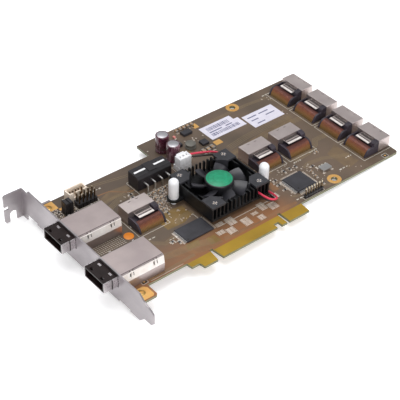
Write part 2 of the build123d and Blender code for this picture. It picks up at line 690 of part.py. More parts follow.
def port_housing(centre):
    nose_top = NOSE_BOTTOM + NOSE_HEIGHT
    inner = NOSE_WIDTH / 2 - SHIELD_WALL
    floor = NOSE_BOTTOM + SHIELD_WALL
    nose = block(-NOSE_LENGTH, SHEET, centre - inner, centre + inner, floor, nose_top)
    opening = inner - MOUTH_WALL
    mouth = block(-NOSE_LENGTH, MOUTH_DEPTH - NOSE_LENGTH, centre - opening, centre + opening,
                  floor + MOUTH_WALL / 2, nose_top - MOUTH_WALL)
    half = CAGE_WIDTH / 2 - CAGE_SHEET - PORT_BLOCK_CLEARANCE
    body = nose - mouth + block(SHEET, SHEET + PORT_BLOCK_LENGTH, centre - half, centre + half,
                                0, CAGE_HEIGHT - CAGE_SHEET - PORT_BLOCK_CLEARANCE)
    middle = (floor + nose_top) / 2
    card_half = CONTACT_PITCH * PORT_CONTACTS / 2 + CONTACT_WIDTH
    back = MOUTH_DEPTH - NOSE_LENGTH
    body -= block(back, back + PORT_CARD_SLOT_DEPTH, centre - card_half, centre + card_half,
                  middle - PORT_CARD_SLOT / 2, middle + PORT_CARD_SLOT / 2)
    for offset in latch_offsets():
        for setback, length in ((LATCH_HOLE_SETBACK, LATCH_HOLE_LENGTH), (STAKE_SETBACK, STAKE_LENGTH)):
            x = -NOSE_LENGTH + setback
            body -= block(x - length / 2, x + length / 2, centre + offset - LATCH_HOLE_WIDTH / 2,
                          centre + offset + LATCH_HOLE_WIDTH / 2, nose_top - MOUTH_WALL, nose_top)
    return body


def port_shield(centre):
    """The nose's metal channel: two sides and a floor, with the stakes that show in the hood."""
    half = NOSE_WIDTH / 2
    nose_top = NOSE_BOTTOM + NOSE_HEIGHT
    channel = block(-NOSE_LENGTH, SHEET, centre - half, centre + half, NOSE_BOTTOM, nose_top)
    corners = channel.edges().filter_by(Axis.X).sort_by(Axis.Z)[:2]
    channel = fillet(corners, SHIELD_WALL * 2)
    channel -= block(-NOSE_LENGTH, SHEET, centre - half + SHIELD_WALL, centre + half - SHIELD_WALL,
                     NOSE_BOTTOM + SHIELD_WALL, nose_top)
    channel -= block(-SHIELD_SLOT_X - SHIELD_SLOT_WIDTH, -SHIELD_SLOT_X, centre - half, centre + half,
                     NOSE_BOTTOM + SHIELD_WALL * 2, nose_top)
    x = -NOSE_LENGTH + STAKE_SETBACK
    stakes = [block(x - STAKE_LENGTH / 2, x + STAKE_LENGTH / 2, centre + offset - LATCH_HOLE_WIDTH / 2,
                    centre + offset + LATCH_HOLE_WIDTH / 2, nose_top - MOUTH_WALL, nose_top + STAKE_PROUD)
              for offset in latch_offsets()]
    return group([channel] + stakes)


def port_contacts():
    bars = []
    floor = NOSE_BOTTOM + SHIELD_WALL
    middle = (floor + NOSE_BOTTOM + NOSE_HEIGHT) / 2
    start = MOUTH_DEPTH - NOSE_LENGTH + CONTACT_WIDTH
    end = MOUTH_DEPTH - NOSE_LENGTH + PORT_CARD_SLOT_DEPTH
    for centre in port_centres():
        for i in range(PORT_CONTACTS):
            y = centre + (i - (PORT_CONTACTS - 1) / 2) * CONTACT_PITCH
            for side in (-1, 1):
                face = middle + side * PORT_CARD_SLOT / 2
                low, high = sorted((face, face - side * CONTACT_THICKNESS))
                bars.append(block(start, end, y - CONTACT_WIDTH / 2, y + CONTACT_WIDTH / 2, low, high))
    return group(bars)


# Internal ports, drawn with the mouth at y = 0 facing +Y and the width centred on x = 0

def drive_shell():
    half = DRIVE_WIDTH / 2
    rear = -DRIVE_SHELL_DEPTH
    shell = block(-half, half, rear, 0, DRIVE_SHELL_BOTTOM, DRIVE_SHELL_TOP)
    long_edges = [e for e in shell.edges().filter_by(Axis.Y) if e.center().Z > DRIVE_SHELL_TOP / 2]
    shell = chamfer(long_edges, DRIVE_SHEET * 0.6)
    shell -= block(-half + DRIVE_SHEET, half - DRIVE_SHEET, rear + DRIVE_SHEET, 0,
                   DRIVE_SHELL_BOTTOM, DRIVE_SHELL_TOP - DRIVE_SHEET)
    tab = DRIVE_TAB_WIDTH / 2
    tab_top = DRIVE_SHELL_TOP - DRIVE_TAB_DROP
    shell -= block(-tab, tab, rear, rear + DRIVE_SHEET, DRIVE_SHELL_BOTTOM, tab_top - DRIVE_SHEET)
    plate = block(-tab, tab, rear - DRIVE_TAB_LENGTH, rear + DRIVE_SHEET, tab_top - DRIVE_SHEET, tab_top)
    slot = tab - 2 * DRIVE_SHEET
    for share in DRIVE_TAB_SLOT_SHARES:
        y = rear - DRIVE_TAB_LENGTH * share
        plate -= block(-slot, slot, y - DRIVE_TAB_SLOT / 2, y + DRIVE_TAB_SLOT / 2,
                       tab_top - DRIVE_SHEET, tab_top)
    for side in (-1, 1):
        x = side * tab / 2
        shell -= block(x - DRIVE_EAR / 2, x + DRIVE_EAR / 2, -DRIVE_EAR, -DRIVE_EAR + DRIVE_TAB_SLOT,
                       DRIVE_SHELL_TOP - DRIVE_SHEET, DRIVE_SHELL_TOP)
    return shell + plate


def drive_housing():
    rear = -DRIVE_SHELL_DEPTH
    inner = DRIVE_WIDTH / 2 - DRIVE_SHEET - DRIVE_CLEARANCE
    half = DRIVE_WIDTH / 2 - DRIVE_CLEARANCE
    inside = rear + DRIVE_SHEET + DRIVE_CLEARANCE
    ceiling = DRIVE_SHELL_TOP - DRIVE_SHEET - DRIVE_CLEARANCE
    body = block(-inner, inner, inside, -DRIVE_MOUTH_DEPTH, 0, ceiling)
    body += block(-inner, inner, -DRIVE_MOUTH_DEPTH, -DRIVE_SHEET, 0, DRIVE_FLOOR)
    middle = (DRIVE_FLOOR + ceiling) / 2
    slot = DRIVE_CONTACTS * CONTACT_PITCH / 2
    body -= block(-slot, slot, inside, -DRIVE_MOUTH_DEPTH,
                  middle - DRIVE_CARD_SLOT / 2, middle + DRIVE_CARD_SLOT / 2)
    neck = DRIVE_TAB_WIDTH / 2 - DRIVE_CLEARANCE
    body += block(-neck, neck, rear - DRIVE_CLEARANCE, inside, 0, DRIVE_BLOCK_TOP)
    body += block(-half, half, -DRIVE_BANK_START, rear - DRIVE_CLEARANCE, 0, DRIVE_BLOCK_TOP)
    slope = [(-DRIVE_DEPTH, 0), (-DRIVE_DEPTH + DRIVE_EAR_TOE_LENGTH, DRIVE_EAR_TOE_HEIGHT),
             (-DRIVE_BANK_START - DRIVE_EAR_LEAN, DRIVE_BANK_TOP), (rear - DRIVE_EAR_CREST, DRIVE_EAR_PEAK),
             (rear - DRIVE_CLEARANCE, DRIVE_EAR_PEAK - DRIVE_EAR_FALL), (rear - DRIVE_CLEARANCE, 0)]
    ear = extrude(Plane.YZ.offset(-half) * outline(slope), amount=DRIVE_EAR)
    return body + ear + mirror(ear, Plane.YZ)


def drive_contacts():
    """The bank of solder tails that falls from the housing to the board behind the ears."""
    top = DRIVE_BANK_TOP
    under = top - CONTACT_THICKNESS
    shoulder = -DRIVE_BANK_START - DRIVE_SHOULDER
    lean = (shoulder + DRIVE_BANK_END) / top
    foot = -DRIVE_BANK_END + CONTACT_THICKNESS * hypot(1, lean)
    tail = outline([(-DRIVE_BANK_END, 0), (shoulder, top), (-DRIVE_BANK_START, top), (-DRIVE_BANK_START, under),
                    (foot + lean * under, under), (foot, 0)])
    first = -CONTACT_PITCH * (DRIVE_CONTACTS - 1) / 2 - CONTACT_WIDTH / 2
    return [extrude(Plane.YZ.offset(first + i * CONTACT_PITCH) * tail, amount=CONTACT_WIDTH)
            for i in range(DRIVE_CONTACTS)]


def drive_port_places():
    inner = [Pos(x, INNER_PORT_MOUTH_Y, 0) for x in INNER_PORT_XS]
    end_x = BOARD_RIGHT - END_PORT_INSET
    ends = [Pos(end_x, END_PORT_Y + i * END_PORT_PITCH, 0) * Rot(0, 0, -90) for i in range(END_PORT_COUNT)]
    return inner + ends


# Heatsink, fan and expander chip

def expander_chip():
    half, lid = CHIP_SIZE / 2, CHIP_LID_SIZE / 2
    substrate = block(SINK_X - half, SINK_X + half, SINK_Y - half, SINK_Y + half, 0, CHIP_SUBSTRATE)
    cover = block(SINK_X - lid, SINK_X + lid, SINK_Y - lid, SINK_Y + lid, CHIP_SUBSTRATE, CHIP_TOP)
    return substrate + chamfer(cover.faces().sort_by(Axis.Z)[-1].edges(), CHIP_LID / 4)


def thermal_pad():
    lid = CHIP_LID_SIZE / 2 - CHIP_LID / 4
    return block(SINK_X - lid, SINK_X + lid, SINK_Y - lid, SINK_Y + lid, CHIP_TOP, SINK_BOTTOM)


def heatsink():
    left, near = SINK_X - SINK_LENGTH / 2, SINK_Y - SINK_WIDTH / 2
    base = rectangle(left, left + SINK_LENGTH, near, near + SINK_WIDTH)
    for x, y in push_pin_places():
        edge = SINK_X + (x - SINK_X) * SINK_LENGTH / 2 / PIN_OFFSET_X
        base += rectangle(*sorted((x, edge)), y - EAR_RADIUS, y + EAR_RADIUS)
        base += Pos(x, y) * Circle(EAR_RADIUS)
    for x, y in push_pin_places():
        base -= hole(x, y, PUSH_PIN_SHANK + PIN_HOLE_CLEARANCE, FINE_SIDES)
    sink = along_z(base, SINK_BOTTOM, SINK_FLOOR)
    fins = Sketch()
    for i in range(FIN_COUNT):
        x = left + i * FIN_PITCH
        fins += rectangle(x, x + FIN_THICKNESS, near, near + SINK_WIDTH)
    fins -= Pos(SINK_X, SINK_Y) * Circle(POCKET_RADIUS)
    return sink + along_z(fins, SINK_FLOOR, FIN_TOP)


def corner_pad(x, y):
    """One corner of the fan's frame: a screw pad above the fins, a leg and a strut in the pocket."""
    sx = 1 if x > SINK_X else -1
    sy = 1 if y > SINK_Y else -1
    corner_x, corner_y = SINK_X + sx * SINK_LENGTH / 2, SINK_Y + sy * SINK_WIDTH / 2
    xs = sorted((corner_x, corner_x - sx * FAN_PAD_SIZE))
    ys = sorted((corner_y, corner_y - sy * FAN_PAD_SIZE))
    pad = rectangle(*xs, *ys) - Pos(SINK_X, SINK_Y) * Circle(FAN_RING_RADIUS)
    middle = DIAGONAL * sx if sy > 0 else 3 * DIAGONAL * sx
    legs = Circle(FAN_RING_RADIUS + FAN_LEG_THICKNESS) - Circle(FAN_RING_RADIUS)
    far = 2 * POCKET_RADIUS
    spread = far * tan(radians(FAN_LEG_ANGLE / 2))
    wedge = outline([(0, 0), (-spread, far), (spread, far)])
    turn = Pos(SINK_X, SINK_Y) * Rot(0, 0, -middle)
    leg = turn * (legs & wedge)
    strut = turn * rectangle(-FAN_STRUT_WIDTH / 2, FAN_STRUT_WIDTH / 2,
                             MOTOR_BASE_RADIUS / 2, FAN_RING_RADIUS + FAN_LEG_THICKNESS / 2)
    bottom = SINK_FLOOR + FAN_FLOOR_GAP
    upright = along_z(leg, bottom, FAN_TOP) + along_z(strut, bottom, FAN_FLOOR_TOP)
    return along_z(pad, FIN_TOP, FAN_TOP) + upright


def fan_frame():
    bottom = SINK_FLOOR + FAN_FLOOR_GAP
    bore = SHAFT_RADIUS + SHAFT_CLEARANCE
    tube_top = HUB_TOP - HUB_WALL - 2 * HUB_GAP
    frame = bar(SINK_X, SINK_Y, MOTOR_BASE_RADIUS, bottom, FAN_FLOOR_TOP, HUB_SIDES)
    frame += bar(SINK_X, SINK_Y, bore + BEARING_WALL, bottom, tube_top)
    for x, y in fan_screw_places():
        frame += corner_pad(x, y)
    frame -= rod(SINK_X, SINK_Y, bore, bottom + FAN_FLOOR / 4, tube_top)
    seat = FAN_TOP - FAN_PAD_THICKNESS / 2
    for x, y in fan_screw_places():
        frame -= along_z(hole(x, y, FAN_SCREW_RADIUS + HOLE_CLEARANCE), FIN_TOP, FAN_TOP)
        frame -= along_z(hole(x, y, FAN_SCREW_HEAD + HOLE_CLEARANCE, FINE_SIDES), seat, FAN_TOP)
    return frame


def fan_stator():
    """Four-pole stator on the bearing tube."""
    inner = SHAFT_RADIUS + SHAFT_CLEARANCE + BEARING_WALL
    arm = rectangle(0, STATOR_REACH, -inner / 3, inner / 3)
    shoe = rectangle(STATOR_REACH - BEARING_WALL, STATOR_REACH, -inner, inner)
    core = RegularPolygon(inner * 3 / 2, HOLE_SIDES)
    for i in range(STATOR_POLE_COUNT):
        core += Rot(0, 0, i * 360 / STATOR_POLE_COUNT) * (arm + shoe)
    core -= RegularPolygon(inner, FINE_SIDES)
    return Pos(SINK_X, SINK_Y, 0) * along_z(core, FAN_FLOOR_TOP, HUB_TOP - HUB_WALL - 3 * HUB_GAP)


def blade_section(x, y, chord):
    """Cambered section of a blade as points about (x, y, 0), pitched about its middle."""
    pitch = radians(BLADE_PITCH)
    scale = chord / BLADE_TIP_CHORD
    path = []
    for share in (-1, -1 / 3, 1 / 3, 1):
        along = share * chord / 2
        rise = BLADE_CAMBER * scale * (1 - share * share)
        path.append((along * cos(pitch) - rise * sin(pitch), along * sin(pitch) + rise * cos(pitch)))
    return [(x, y + along, rise) for along, rise in ribbon_points(path, BLADE_THICKNESS * scale)]


def blade():
    """One blade that widens and sweeps back to its tip, drawn on the +X side of the hub."""
    root = blade_section(HUB_RADIUS - 2 * HUB_WALL, 0, BLADE_ROOT_CHORD)
    tip = blade_section(BLADE_RADIUS + HUB_WALL, -BLADE_SWEEP, BLADE_TIP_CHORD)
    return skinned([root, tip])


def impeller():
    bottom = FAN_FLOOR_TOP + HUB_GAP
    cup = bar(0, 0, HUB_RADIUS, bottom, HUB_TOP, HUB_SIDES)
    cup = chamfer(cup.faces().sort_by(Axis.Z)[-1].edges(), HUB_WALL / 2)
    middle = (bottom + HUB_TOP) / 2 - BLADE_CAMBER / 2
    one = Pos(0, 0, middle) * blade()
    wheel = cup + [Rot(0, 0, i * 360 / BLADE_COUNT) * one for i in range(BLADE_COUNT)]
    wheel = wheel & bar(0, 0, BLADE_RADIUS, bottom, HUB_TOP, HUB_SIDES)
    wheel -= bar(0, 0, HUB_RADIUS - HUB_WALL, bottom, HUB_TOP - HUB_WALL, HUB_SIDES)
    return Pos(SINK_X, SINK_Y, 0) * wheel


def magnet_ring():
    outer = HUB_RADIUS - HUB_WALL
    ring = RegularPolygon(outer - HOLE_CLEARANCE / 2, HUB_SIDES)
    ring -= RegularPolygon(outer - MAGNET_THICKNESS, HUB_SIDES)
    return Pos(SINK_X, SINK_Y, 0) * along_z(ring, FAN_FLOOR_TOP + HUB_GAP, HUB_TOP - HUB_WALL)


def fan_shaft():
    return rod(SINK_X, SINK_Y, SHAFT_RADIUS, SINK_FLOOR + FAN_FLOOR_GAP + FAN_FLOOR / 2, HUB_TOP - HUB_WALL)


def hub_label():
    return bar(SINK_X, SINK_Y, LABEL_RADIUS, HUB_TOP, HUB_TOP + LABEL_THICKNESS, HUB_SIDES)


def fan_screw(x, y):
    top = FAN_TOP - HOLE_CLEARANCE
    seat = FAN_TOP - FAN_PAD_THICKNESS / 2
    screw = bar(x, y, FAN_SCREW_HEAD, seat, top)
    screw += bar(x, y, FAN_SCREW_RADIUS, top - FAN_SCREW_LENGTH, seat, HOLE_SIDES)
    cross = rectangle(-SCREW_CROSS_ARM, SCREW_CROSS_ARM, -SCREW_CROSS_WIDTH, SCREW_CROSS_WIDTH)
    cross += Rot(0, 0, 90) * cross
    return screw - along_z(Pos(x, y) * cross, top - SCREW_CROSS_DEPTH, top)


def push_pin(x, y):
    """Nylon pin: domed head on the heatsink's ear, shank and barbed split tip through the board."""
    dome = SINK_FLOOR + PUSH_PIN_HEIGHT - PUSH_PIN_RADIUS
    steps = [radians(90 * i / DOME_STEPS) for i in range(DOME_STEPS)]
    crown = [(PUSH_PIN_RADIUS * cos(angle), dome + PUSH_PIN_RADIUS * sin(angle)) for angle in steps]
    tip = (PUSH_PIN_POINT, SINK_FLOOR + PUSH_PIN_HEIGHT)
    low = BOARD_BOTTOM - PUSH_PIN_TIP
    catch = BOARD_BOTTOM - HOLE_CLEARANCE
    pin = turned(x, y, [(PUSH_PIN_RADIUS, SINK_FLOOR)] + crown + [tip], PUSH_PIN_SIDES)
    pin += bar(x, y, PUSH_PIN_SHANK, catch, SINK_FLOOR)
    pin += turned(x, y, [(PUSH_PIN_POINT, low), (PUSH_PIN_SHANK + PUSH_PIN_BARB, catch)], FINE_SIDES)
    return pin - block(x - PUSH_PIN_SLIT, x + PUSH_PIN_SLIT, y - 2 * PUSH_PIN_SHANK, y + 2 * PUSH_PIN_SHANK,
                       low, BOARD_BOTTOM)


# Connectors

def power_header_housing():
    right, far = POWER_X + POWER_LENGTH, POWER_Y + POWER_DEPTH
    body = block(POWER_X, right, POWER_Y, far, 0, POWER_HEIGHT)
    back_top = [e for e in body.faces().sort_by(Axis.Y)[0].edges().filter_by(Axis.X)
                if e.center().Z > POWER_HEIGHT / 2]
    body = chamfer(back_top, POWER_CHAMFER)
    third = (POWER_LENGTH - 2 * POWER_TOP_SLOT - 2 * POWER_WALL) / 2
    middle = POWER_X + POWER_LENGTH / 2
    body += block(middle - third, middle + third, POWER_Y + POWER_CHAMFER, far, POWER_HEIGHT,
                  POWER_HEIGHT + POWER_RAISED)
    body -= block(POWER_X + POWER_WALL, right - POWER_WALL, POWER_Y + POWER_WALL, far,
                  POWER_WALL, POWER_HEIGHT - POWER_WALL)
    slot_y = POWER_Y + POWER_DEPTH / 2
    for x in (POWER_X + POWER_WALL, right - POWER_WALL - POWER_TOP_SLOT):
        body -= block(x, x + POWER_TOP_SLOT, slot_y, slot_y + POWER_TOP_SLOT_WIDTH,
                      POWER_HEIGHT - POWER_WALL / 2, POWER_HEIGHT)
    for x, _ in power_tail_places():
        body -= along_y(Pos(x, POWER_PIN_HEIGHT) * RegularPolygon(POWER_TAIL_RADIUS, HOLE_SIDES),
                        POWER_Y, POWER_Y + POWER_WALL)
    return body


def power_pin(x, tail_y):
    """Round contact in the mouth, with a tail that bends down behind the housing to the board."""
    seat = POWER_Y + POWER_WALL
    contact = along_y(Pos(x, POWER_PIN_HEIGHT) * RegularPolygon(POWER_PIN_RADIUS, RIVET_SIDES),
                      seat, seat + POWER_PIN_LENGTH)
    bend = Polyline((x, seat, POWER_PIN_HEIGHT), (x, tail_y, POWER_PIN_HEIGHT),
                    (x, tail_y, BOARD_BOTTOM - PIN_TAIL))
    section = Pos(x, POWER_PIN_HEIGHT) * RegularPolygon(POWER_TAIL_RADIUS, HOLE_SIDES)
    return contact + sweep(Plane.XZ.offset(-seat) * section, path=bend, transition=Transition.RIGHT)


def square_pin(x, y, top):
    half = SQUARE_PIN / 2
    return block(x - half, x + half, y - half, y + half, BOARD_BOTTOM - PIN_TAIL, top)


def pin_socket(x, y, z0, z1):
    half = SQUARE_PIN / 2
    return block(x - half, x + half, y - half, y + half, z0, z1)


def fan_header():
    right, far = FAN_HEADER_X + FAN_HEADER_LENGTH, FAN_HEADER_Y + FAN_HEADER_DEPTH
    latch = far - FAN_HEADER_LATCH
    body = block(FAN_HEADER_X, right, FAN_HEADER_Y, far, 0, FAN_HEADER_BASE)
    inset = FAN_HEADER_LENGTH / 5
    body += block(FAN_HEADER_X + inset, right - inset, latch, far, 0, FAN_PLUG_TOP)
    for x, y in fan_pin_places():
        body -= pin_socket(x, y, 0, FAN_HEADER_BASE)
    return body


def fan_plug():
    latch = FAN_HEADER_Y + FAN_HEADER_DEPTH - FAN_HEADER_LATCH - FAN_PLUG_CLEARANCE
    body = block(FAN_HEADER_X + FAN_PLUG_CLEARANCE, FAN_HEADER_X + FAN_HEADER_LENGTH - FAN_PLUG_CLEARANCE,
                 FAN_HEADER_Y + FAN_PLUG_CLEARANCE, latch, FAN_HEADER_BASE, FAN_PLUG_TOP)
    for x, y in fan_pin_places():
        left, right = x - SQUARE_PIN, x + SQUARE_PIN
        body -= block(left, right, y - SQUARE_PIN, y + SQUARE_PIN, FAN_HEADER_BASE, FAN_PLUG_TOP)
        body -= block(left, right, FAN_HEADER_Y, FAN_HEADER_Y + 2 * FAN_PLUG_CLEARANCE,
                      FAN_HEADER_BASE + SQUARE_PIN, FAN_PLUG_TOP - 2 * SQUARE_PIN)
    return body


def service_header():
    length = 2 * SERVICE_END + (SERVICE_PIN_COUNT - 1) * SERVICE_PITCH
    right, far = SERVICE_X + length, SERVICE_Y + SERVICE_DEPTH
    body = block(SERVICE_X, right, SERVICE_Y, far, 0, SERVICE_HEIGHT)
    body -= block(SERVICE_X + SERVICE_WALL, right - SERVICE_WALL,
                  SERVICE_Y + SERVICE_WALL, far - SERVICE_WALL, SERVICE_FLOOR, SERVICE_HEIGHT)
    for x in (SERVICE_X + length * SERVICE_KEY_SHARE, right - length * SERVICE_KEY_SHARE):
        body -= block(x - SERVICE_WALL, x + SERVICE_WALL, SERVICE_Y, SERVICE_Y + SERVICE_WALL,
                      SERVICE_HEIGHT / 2, SERVICE_HEIGHT)
    for x, y in service_pin_places():
        body -= pin_socket(x, y, 0, SERVICE_FLOOR)
    return body


def header_base(places, pitch, height):
    """Moulded strip of a pin header, with waisted corners between its positions."""
    half = pitch / 2
    corner = pitch / 6
    cell = chamfer(Rectangle(pitch, pitch).vertices(), corner)
    face = Sketch()
    for x, y in places:
        face += Pos(x, y) * cell
    xs, ys = [x for x, _ in places], [y for _, y in places]
    reach = half - corner
    face += rectangle(min(xs) - reach, max(xs) + reach, min(ys) - reach, max(ys) + reach)
    base = along_z(face, 0, height)
    for x, y in places:
        base -= pin_socket(x, y, 0, height)
    return base


def pin_header_bases():
    return group([
        header_base(header_pin_places(), HEADER_PITCH, HEADER_BASE),
        header_base(jumper_pin_places(), HEADER_PITCH, HEADER_BASE),
        header_base(edge_pin_places(), EDGE_HEADER_PITCH, EDGE_HEADER_BASE),
    ])


def header_pins():
    tops = [(fan_pin_places(), FAN_PLUG_TOP - 2 * SQUARE_PIN),
            (service_pin_places(), SERVICE_HEIGHT - SERVICE_WALL), (header_pin_places(), HEADER_PIN_TOP),
            (jumper_pin_places(), JUMPER_TOP - 2 * SQUARE_PIN), (edge_pin_places(), EDGE_HEADER_TOP)]
    return group([square_pin(x, y, top) for places, top in tops for x, y in places])


def jumper_caps():
    caps = []
    half = HEADER_PITCH / 2 - JUMPER_INSET
    for i in range(2):
        x = JUMPER_X + i * HEADER_PITCH
        cap = block(x - half, x + half, JUMPER_Y - half, JUMPER_Y + HEADER_PITCH + half,
                    HEADER_BASE, JUMPER_TOP)
        cap = chamfer(cap.faces().sort_by(Axis.Z)[-1].edges(), JUMPER_INSET * 2)
        for y in (JUMPER_Y, JUMPER_Y + HEADER_PITCH):
            cap -= pin_socket(x, y, HEADER_BASE, JUMPER_TOP - 2 * SQUARE_PIN)
        caps.append(cap)
    return group(caps)


# Chips and small parts

def chip_body(x, y, length, width, height):
    """Moulded package with tapered sides."""
    waist = (CHIP_STANDOFF + height) / 2
    taper = (height - CHIP_STANDOFF) / 3
    rings = []
    for z, inset in ((CHIP_STANDOFF, taper), (waist, 0), (height, taper)):
        reach_x, reach_y = (length - inset) / 2, (width - inset) / 2
        rings.append([(x + sx * reach_x, y + sy * reach_y, z) for sx, sy in ((-1, -1), (1, -1), (1, 1), (-1, 1))])
    return skinned(rings)


def gull_wings(count, pitch, height):
    """A row of leads along x that leave a package's side at y = 0 and slope out and down to the board."""
    waist = (CHIP_STANDOFF + height) / 2
    wing = ribbon([(-LEAD_REACH, LEAD_SHEET), (0, waist + LEAD_SHEET)], LEAD_SHEET)
    width = pitch * LEAD_WIDTH_SHARE
    first = -(count - 1) * pitch / 2 - width / 2
    return [extrude(Plane.YZ.offset(first + i * pitch) * wing, amount=width) for i in range(count)]


def chip_leads():
    leads = []
    for side in range(4):
        place = Pos(CONTROLLER_X, CONTROLLER_Y, 0) * Rot(0, 0, 90 * side) * Pos(0, -CONTROLLER_SIZE / 2, 0)
        leads += [place * lead for lead in gull_wings(CONTROLLER_LEADS, CONTROLLER_PITCH, CONTROLLER_HEIGHT)]
    for side in (-90, 90):
        place = Pos(FLASH_X, FLASH_Y, 0) * Rot(0, 0, side) * Pos(0, -FLASH_LENGTH / 2, 0)
        leads += [place * lead for lead in gull_wings(FLASH_LEADS, FLASH_PITCH, FLASH_HEIGHT)]
    return group(leads)


def electrolytic_capacitor(x, y):
    """Sealed can with its rolled groove and two leads through the board."""
    profile = [
        (CAN_RADIUS, 0), (CAN_RADIUS, CAN_GROOVE_HEIGHT),
        (CAN_RADIUS - CAN_GROOVE_DEPTH, CAN_GROOVE_HEIGHT + CAN_ROLL),
        (CAN_RADIUS, CAN_GROOVE_HEIGHT + 2 * CAN_ROLL), (CAN_RADIUS, CAN_HEIGHT - CAN_ROLL / 2),
        (CAN_RADIUS - CAN_ROLL / 2, CAN_HEIGHT),
    ]
    can = turned(x, y, profile, CAN_SIDES)
    for side in (-1, 1):
        can += bar(x + side * CAN_LEAD_PITCH / 2, y, CAN_LEAD_RADIUS, BOARD_BOTTOM - PIN_TAIL, 0, HOLE_SIDES)
    return can


def oscillator():
    can = small_part(OSCILLATOR_X, OSCILLATOR_Y, OSCILLATOR_LENGTH, OSCILLATOR_WIDTH, OSCILLATOR_HEIGHT)
    return chamfer(can.edges().filter_by(Axis.Z), OSCILLATOR_HEIGHT / 3)


def inductor():
    return bar(INDUCTOR_X, INDUCTOR_Y, INDUCTOR_RADIUS, 0, INDUCTOR_HEIGHT, CAN_SIDES)


def small_part(x, y, length, width, height):
    return block(x - length / 2, x + length / 2, y - width / 2, y + width / 2, 0, height)


def product_labels():
    right, far = LONG_LABEL_X + LONG_LABEL_LENGTH, LONG_LABEL_Y + LABEL_HEIGHT
    long_face = rectangle(LONG_LABEL_X, right, LONG_LABEL_Y, far)
    long_face -= rectangle(right - LONG_LABEL_STEP, right, far - LABEL_HEIGHT / 3, far)
    short_face = rectangle(SHORT_LABEL_X, SHORT_LABEL_X + SHORT_LABEL_LENGTH, SHORT_LABEL_Y,
                           SHORT_LABEL_Y + LABEL_HEIGHT)
    return group([along_z(face, 0, PAPER) for face in (long_face, short_face)])


def red_lead_route():
    """Points of a fan lead from the frame's leg, between two fins, round the sink to the plug."""
    return [
        (104.4, 21.4, 6.6), (104.4, 14.8, 6.4), (106.8, 7.8, 5.0), (113.0, 8.2, 2.8), (114.3, 15.2, 1.6),
        (113.2, 23.5, 1.2), (113.5, 33.0, 1.3), (114.3, 42.5, 2.4), (114.4, 51.9, 4.6), (110.2, 58.3, 7.0),
        (102.2, 62.4, 8.0), (94.75, 65.2, 8.1),
    ]


def black_lead_route():
    """Points of the other lead, below the first between the fins and inside it round the sink."""
    return [
        (104.4, 21.4, 5.2), (104.4, 15.0, 5.0), (106.5, 8.8, 3.6), (112.5, 9.8, 1.5), (112.8, 16.4, 0.9),
        (111.8, 24.2, 0.9), (112.0, 33.0, 0.9), (112.9, 42.3, 1.5), (113.6, 52.2, 3.2), (110.0, 57.6, 5.6),
        (101.9, 61.4, 6.4), (94.75, 64.6, 6.6),
    ]


def fan_lead(route):
    points = [Vector(*point) for point in route]
    radii = []
    for before, corner, after in zip(points, points[1:], points[2:]):
        run = min((corner - before).length, (after - corner).length)
        turn = (corner - before).get_angle(after - corner)
        radii.append(LEAD_BEND_SHARE * run / tan(radians(turn / 2)))
    path = FilletPolyline(*points, radius=radii)
    start = Plane(origin=points[0], z_dir=points[1] - points[0])
    section = RegularPolygon(LEAD_DIAMETER / 2, LEAD_SIDES)
    lead = sweep(start * section, path=path)
    expected = path.length * section.area
    print("lead radii", [round(r, 1) for r in radii], "length", round(path.length, 1),
          "volume", round(lead.volume, 2), "of", round(expected, 2))
    return lead


def main():
    os.makedirs("parts", exist_ok=True)
    save("circuit_board", circuit_board())
    save("bracket", bracket())
    save("bracket_rivets", group([rivet(x, y) for x, y in rivet_places()]))
    for i, centre in enumerate(port_centres(), 1):
        save(f"rear_port_{i}_cage", port_cage(centre))
        save(f"rear_port_{i}_housing", port_housing(centre))
        save(f"rear_port_{i}_shield", port_shield(centre))
    save("rear_port_contacts", port_contacts())
    shell, housing, tails = drive_shell(), drive_housing(), drive_contacts()
    banks = []
    for i, place in enumerate(drive_port_places(), 1):
        save(f"drive_port_{i}_shell", place * shell)
        save(f"drive_port_{i}_housing", place * housing)
        banks += [place * tail for tail in tails]
    save("drive_port_contacts", group(banks))
    save("expander_chip", expander_chip())
    save("thermal_pad", thermal_pad())
    save("heatsink", heatsink())
    save("fan_frame", fan_frame())
    save("fan_stator", fan_stator())
    save("impeller", impeller())
    save("magnet_ring", magnet_ring())
    save("fan_shaft", fan_shaft())
    save("hub_label", hub_label())
    save("fan_screws", group([fan_screw(x, y) for x, y in fan_screw_places()]))
    save("push_pins", group([push_pin(x, y) for x, y in push_pin_places()]))
    save("power_header_housing", power_header_housing())
    save("power_header_pins", group([power_pin(x, y) for x, y in power_tail_places()]))
    save("fan_header", fan_header())
    save("fan_plug", fan_plug())
    save("fan_lead_red", fan_lead(red_lead_route()))
    save("fan_lead_black", fan_lead(black_lead_route()))
    save("service_header", service_header())
    save("pin_header_bases", pin_header_bases())
    save("header_pins", header_pins())
    save("jumper_caps", jumper_caps())
    save("controller_chip",
         chip_body(CONTROLLER_X, CONTROLLER_Y, CONTROLLER_SIZE, CONTROLLER_SIZE, CONTROLLER_HEIGHT))
    save("flash_chip", chip_body(FLASH_X, FLASH_Y, FLASH_LENGTH, FLASH_WIDTH, FLASH_HEIGHT))
    save("chip_leads", chip_leads())
    save("power_chips", group([small_part(*place) for place in POWER_CHIP_PLACES]))
    save("electrolytic_capacitors", group([electrolytic_capacitor(x, y) for x, y in CAN_PLACES]))
    save("oscillator", oscillator())
    save("inductor", inductor())
    save("ceramic_capacitors", group([small_part(*place) for place in CERAMIC_PLACES]))
    save("resistors", group([small_part(*place) for place in RESISTOR_PLACES]))
    save("power_lamp", small_part(*LAMP_PLACE))
    save("product_labels", product_labels())
    save("round_sticker", bar(STICKER_X, STICKER_Y, STICKER_RADIUS, 0, PAPER, CAN_SIDES))


main()
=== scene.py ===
import random
from math import cos, hypot, pi, radians, sin

import bmesh
import bpy
from mathutils import Matrix, Vector


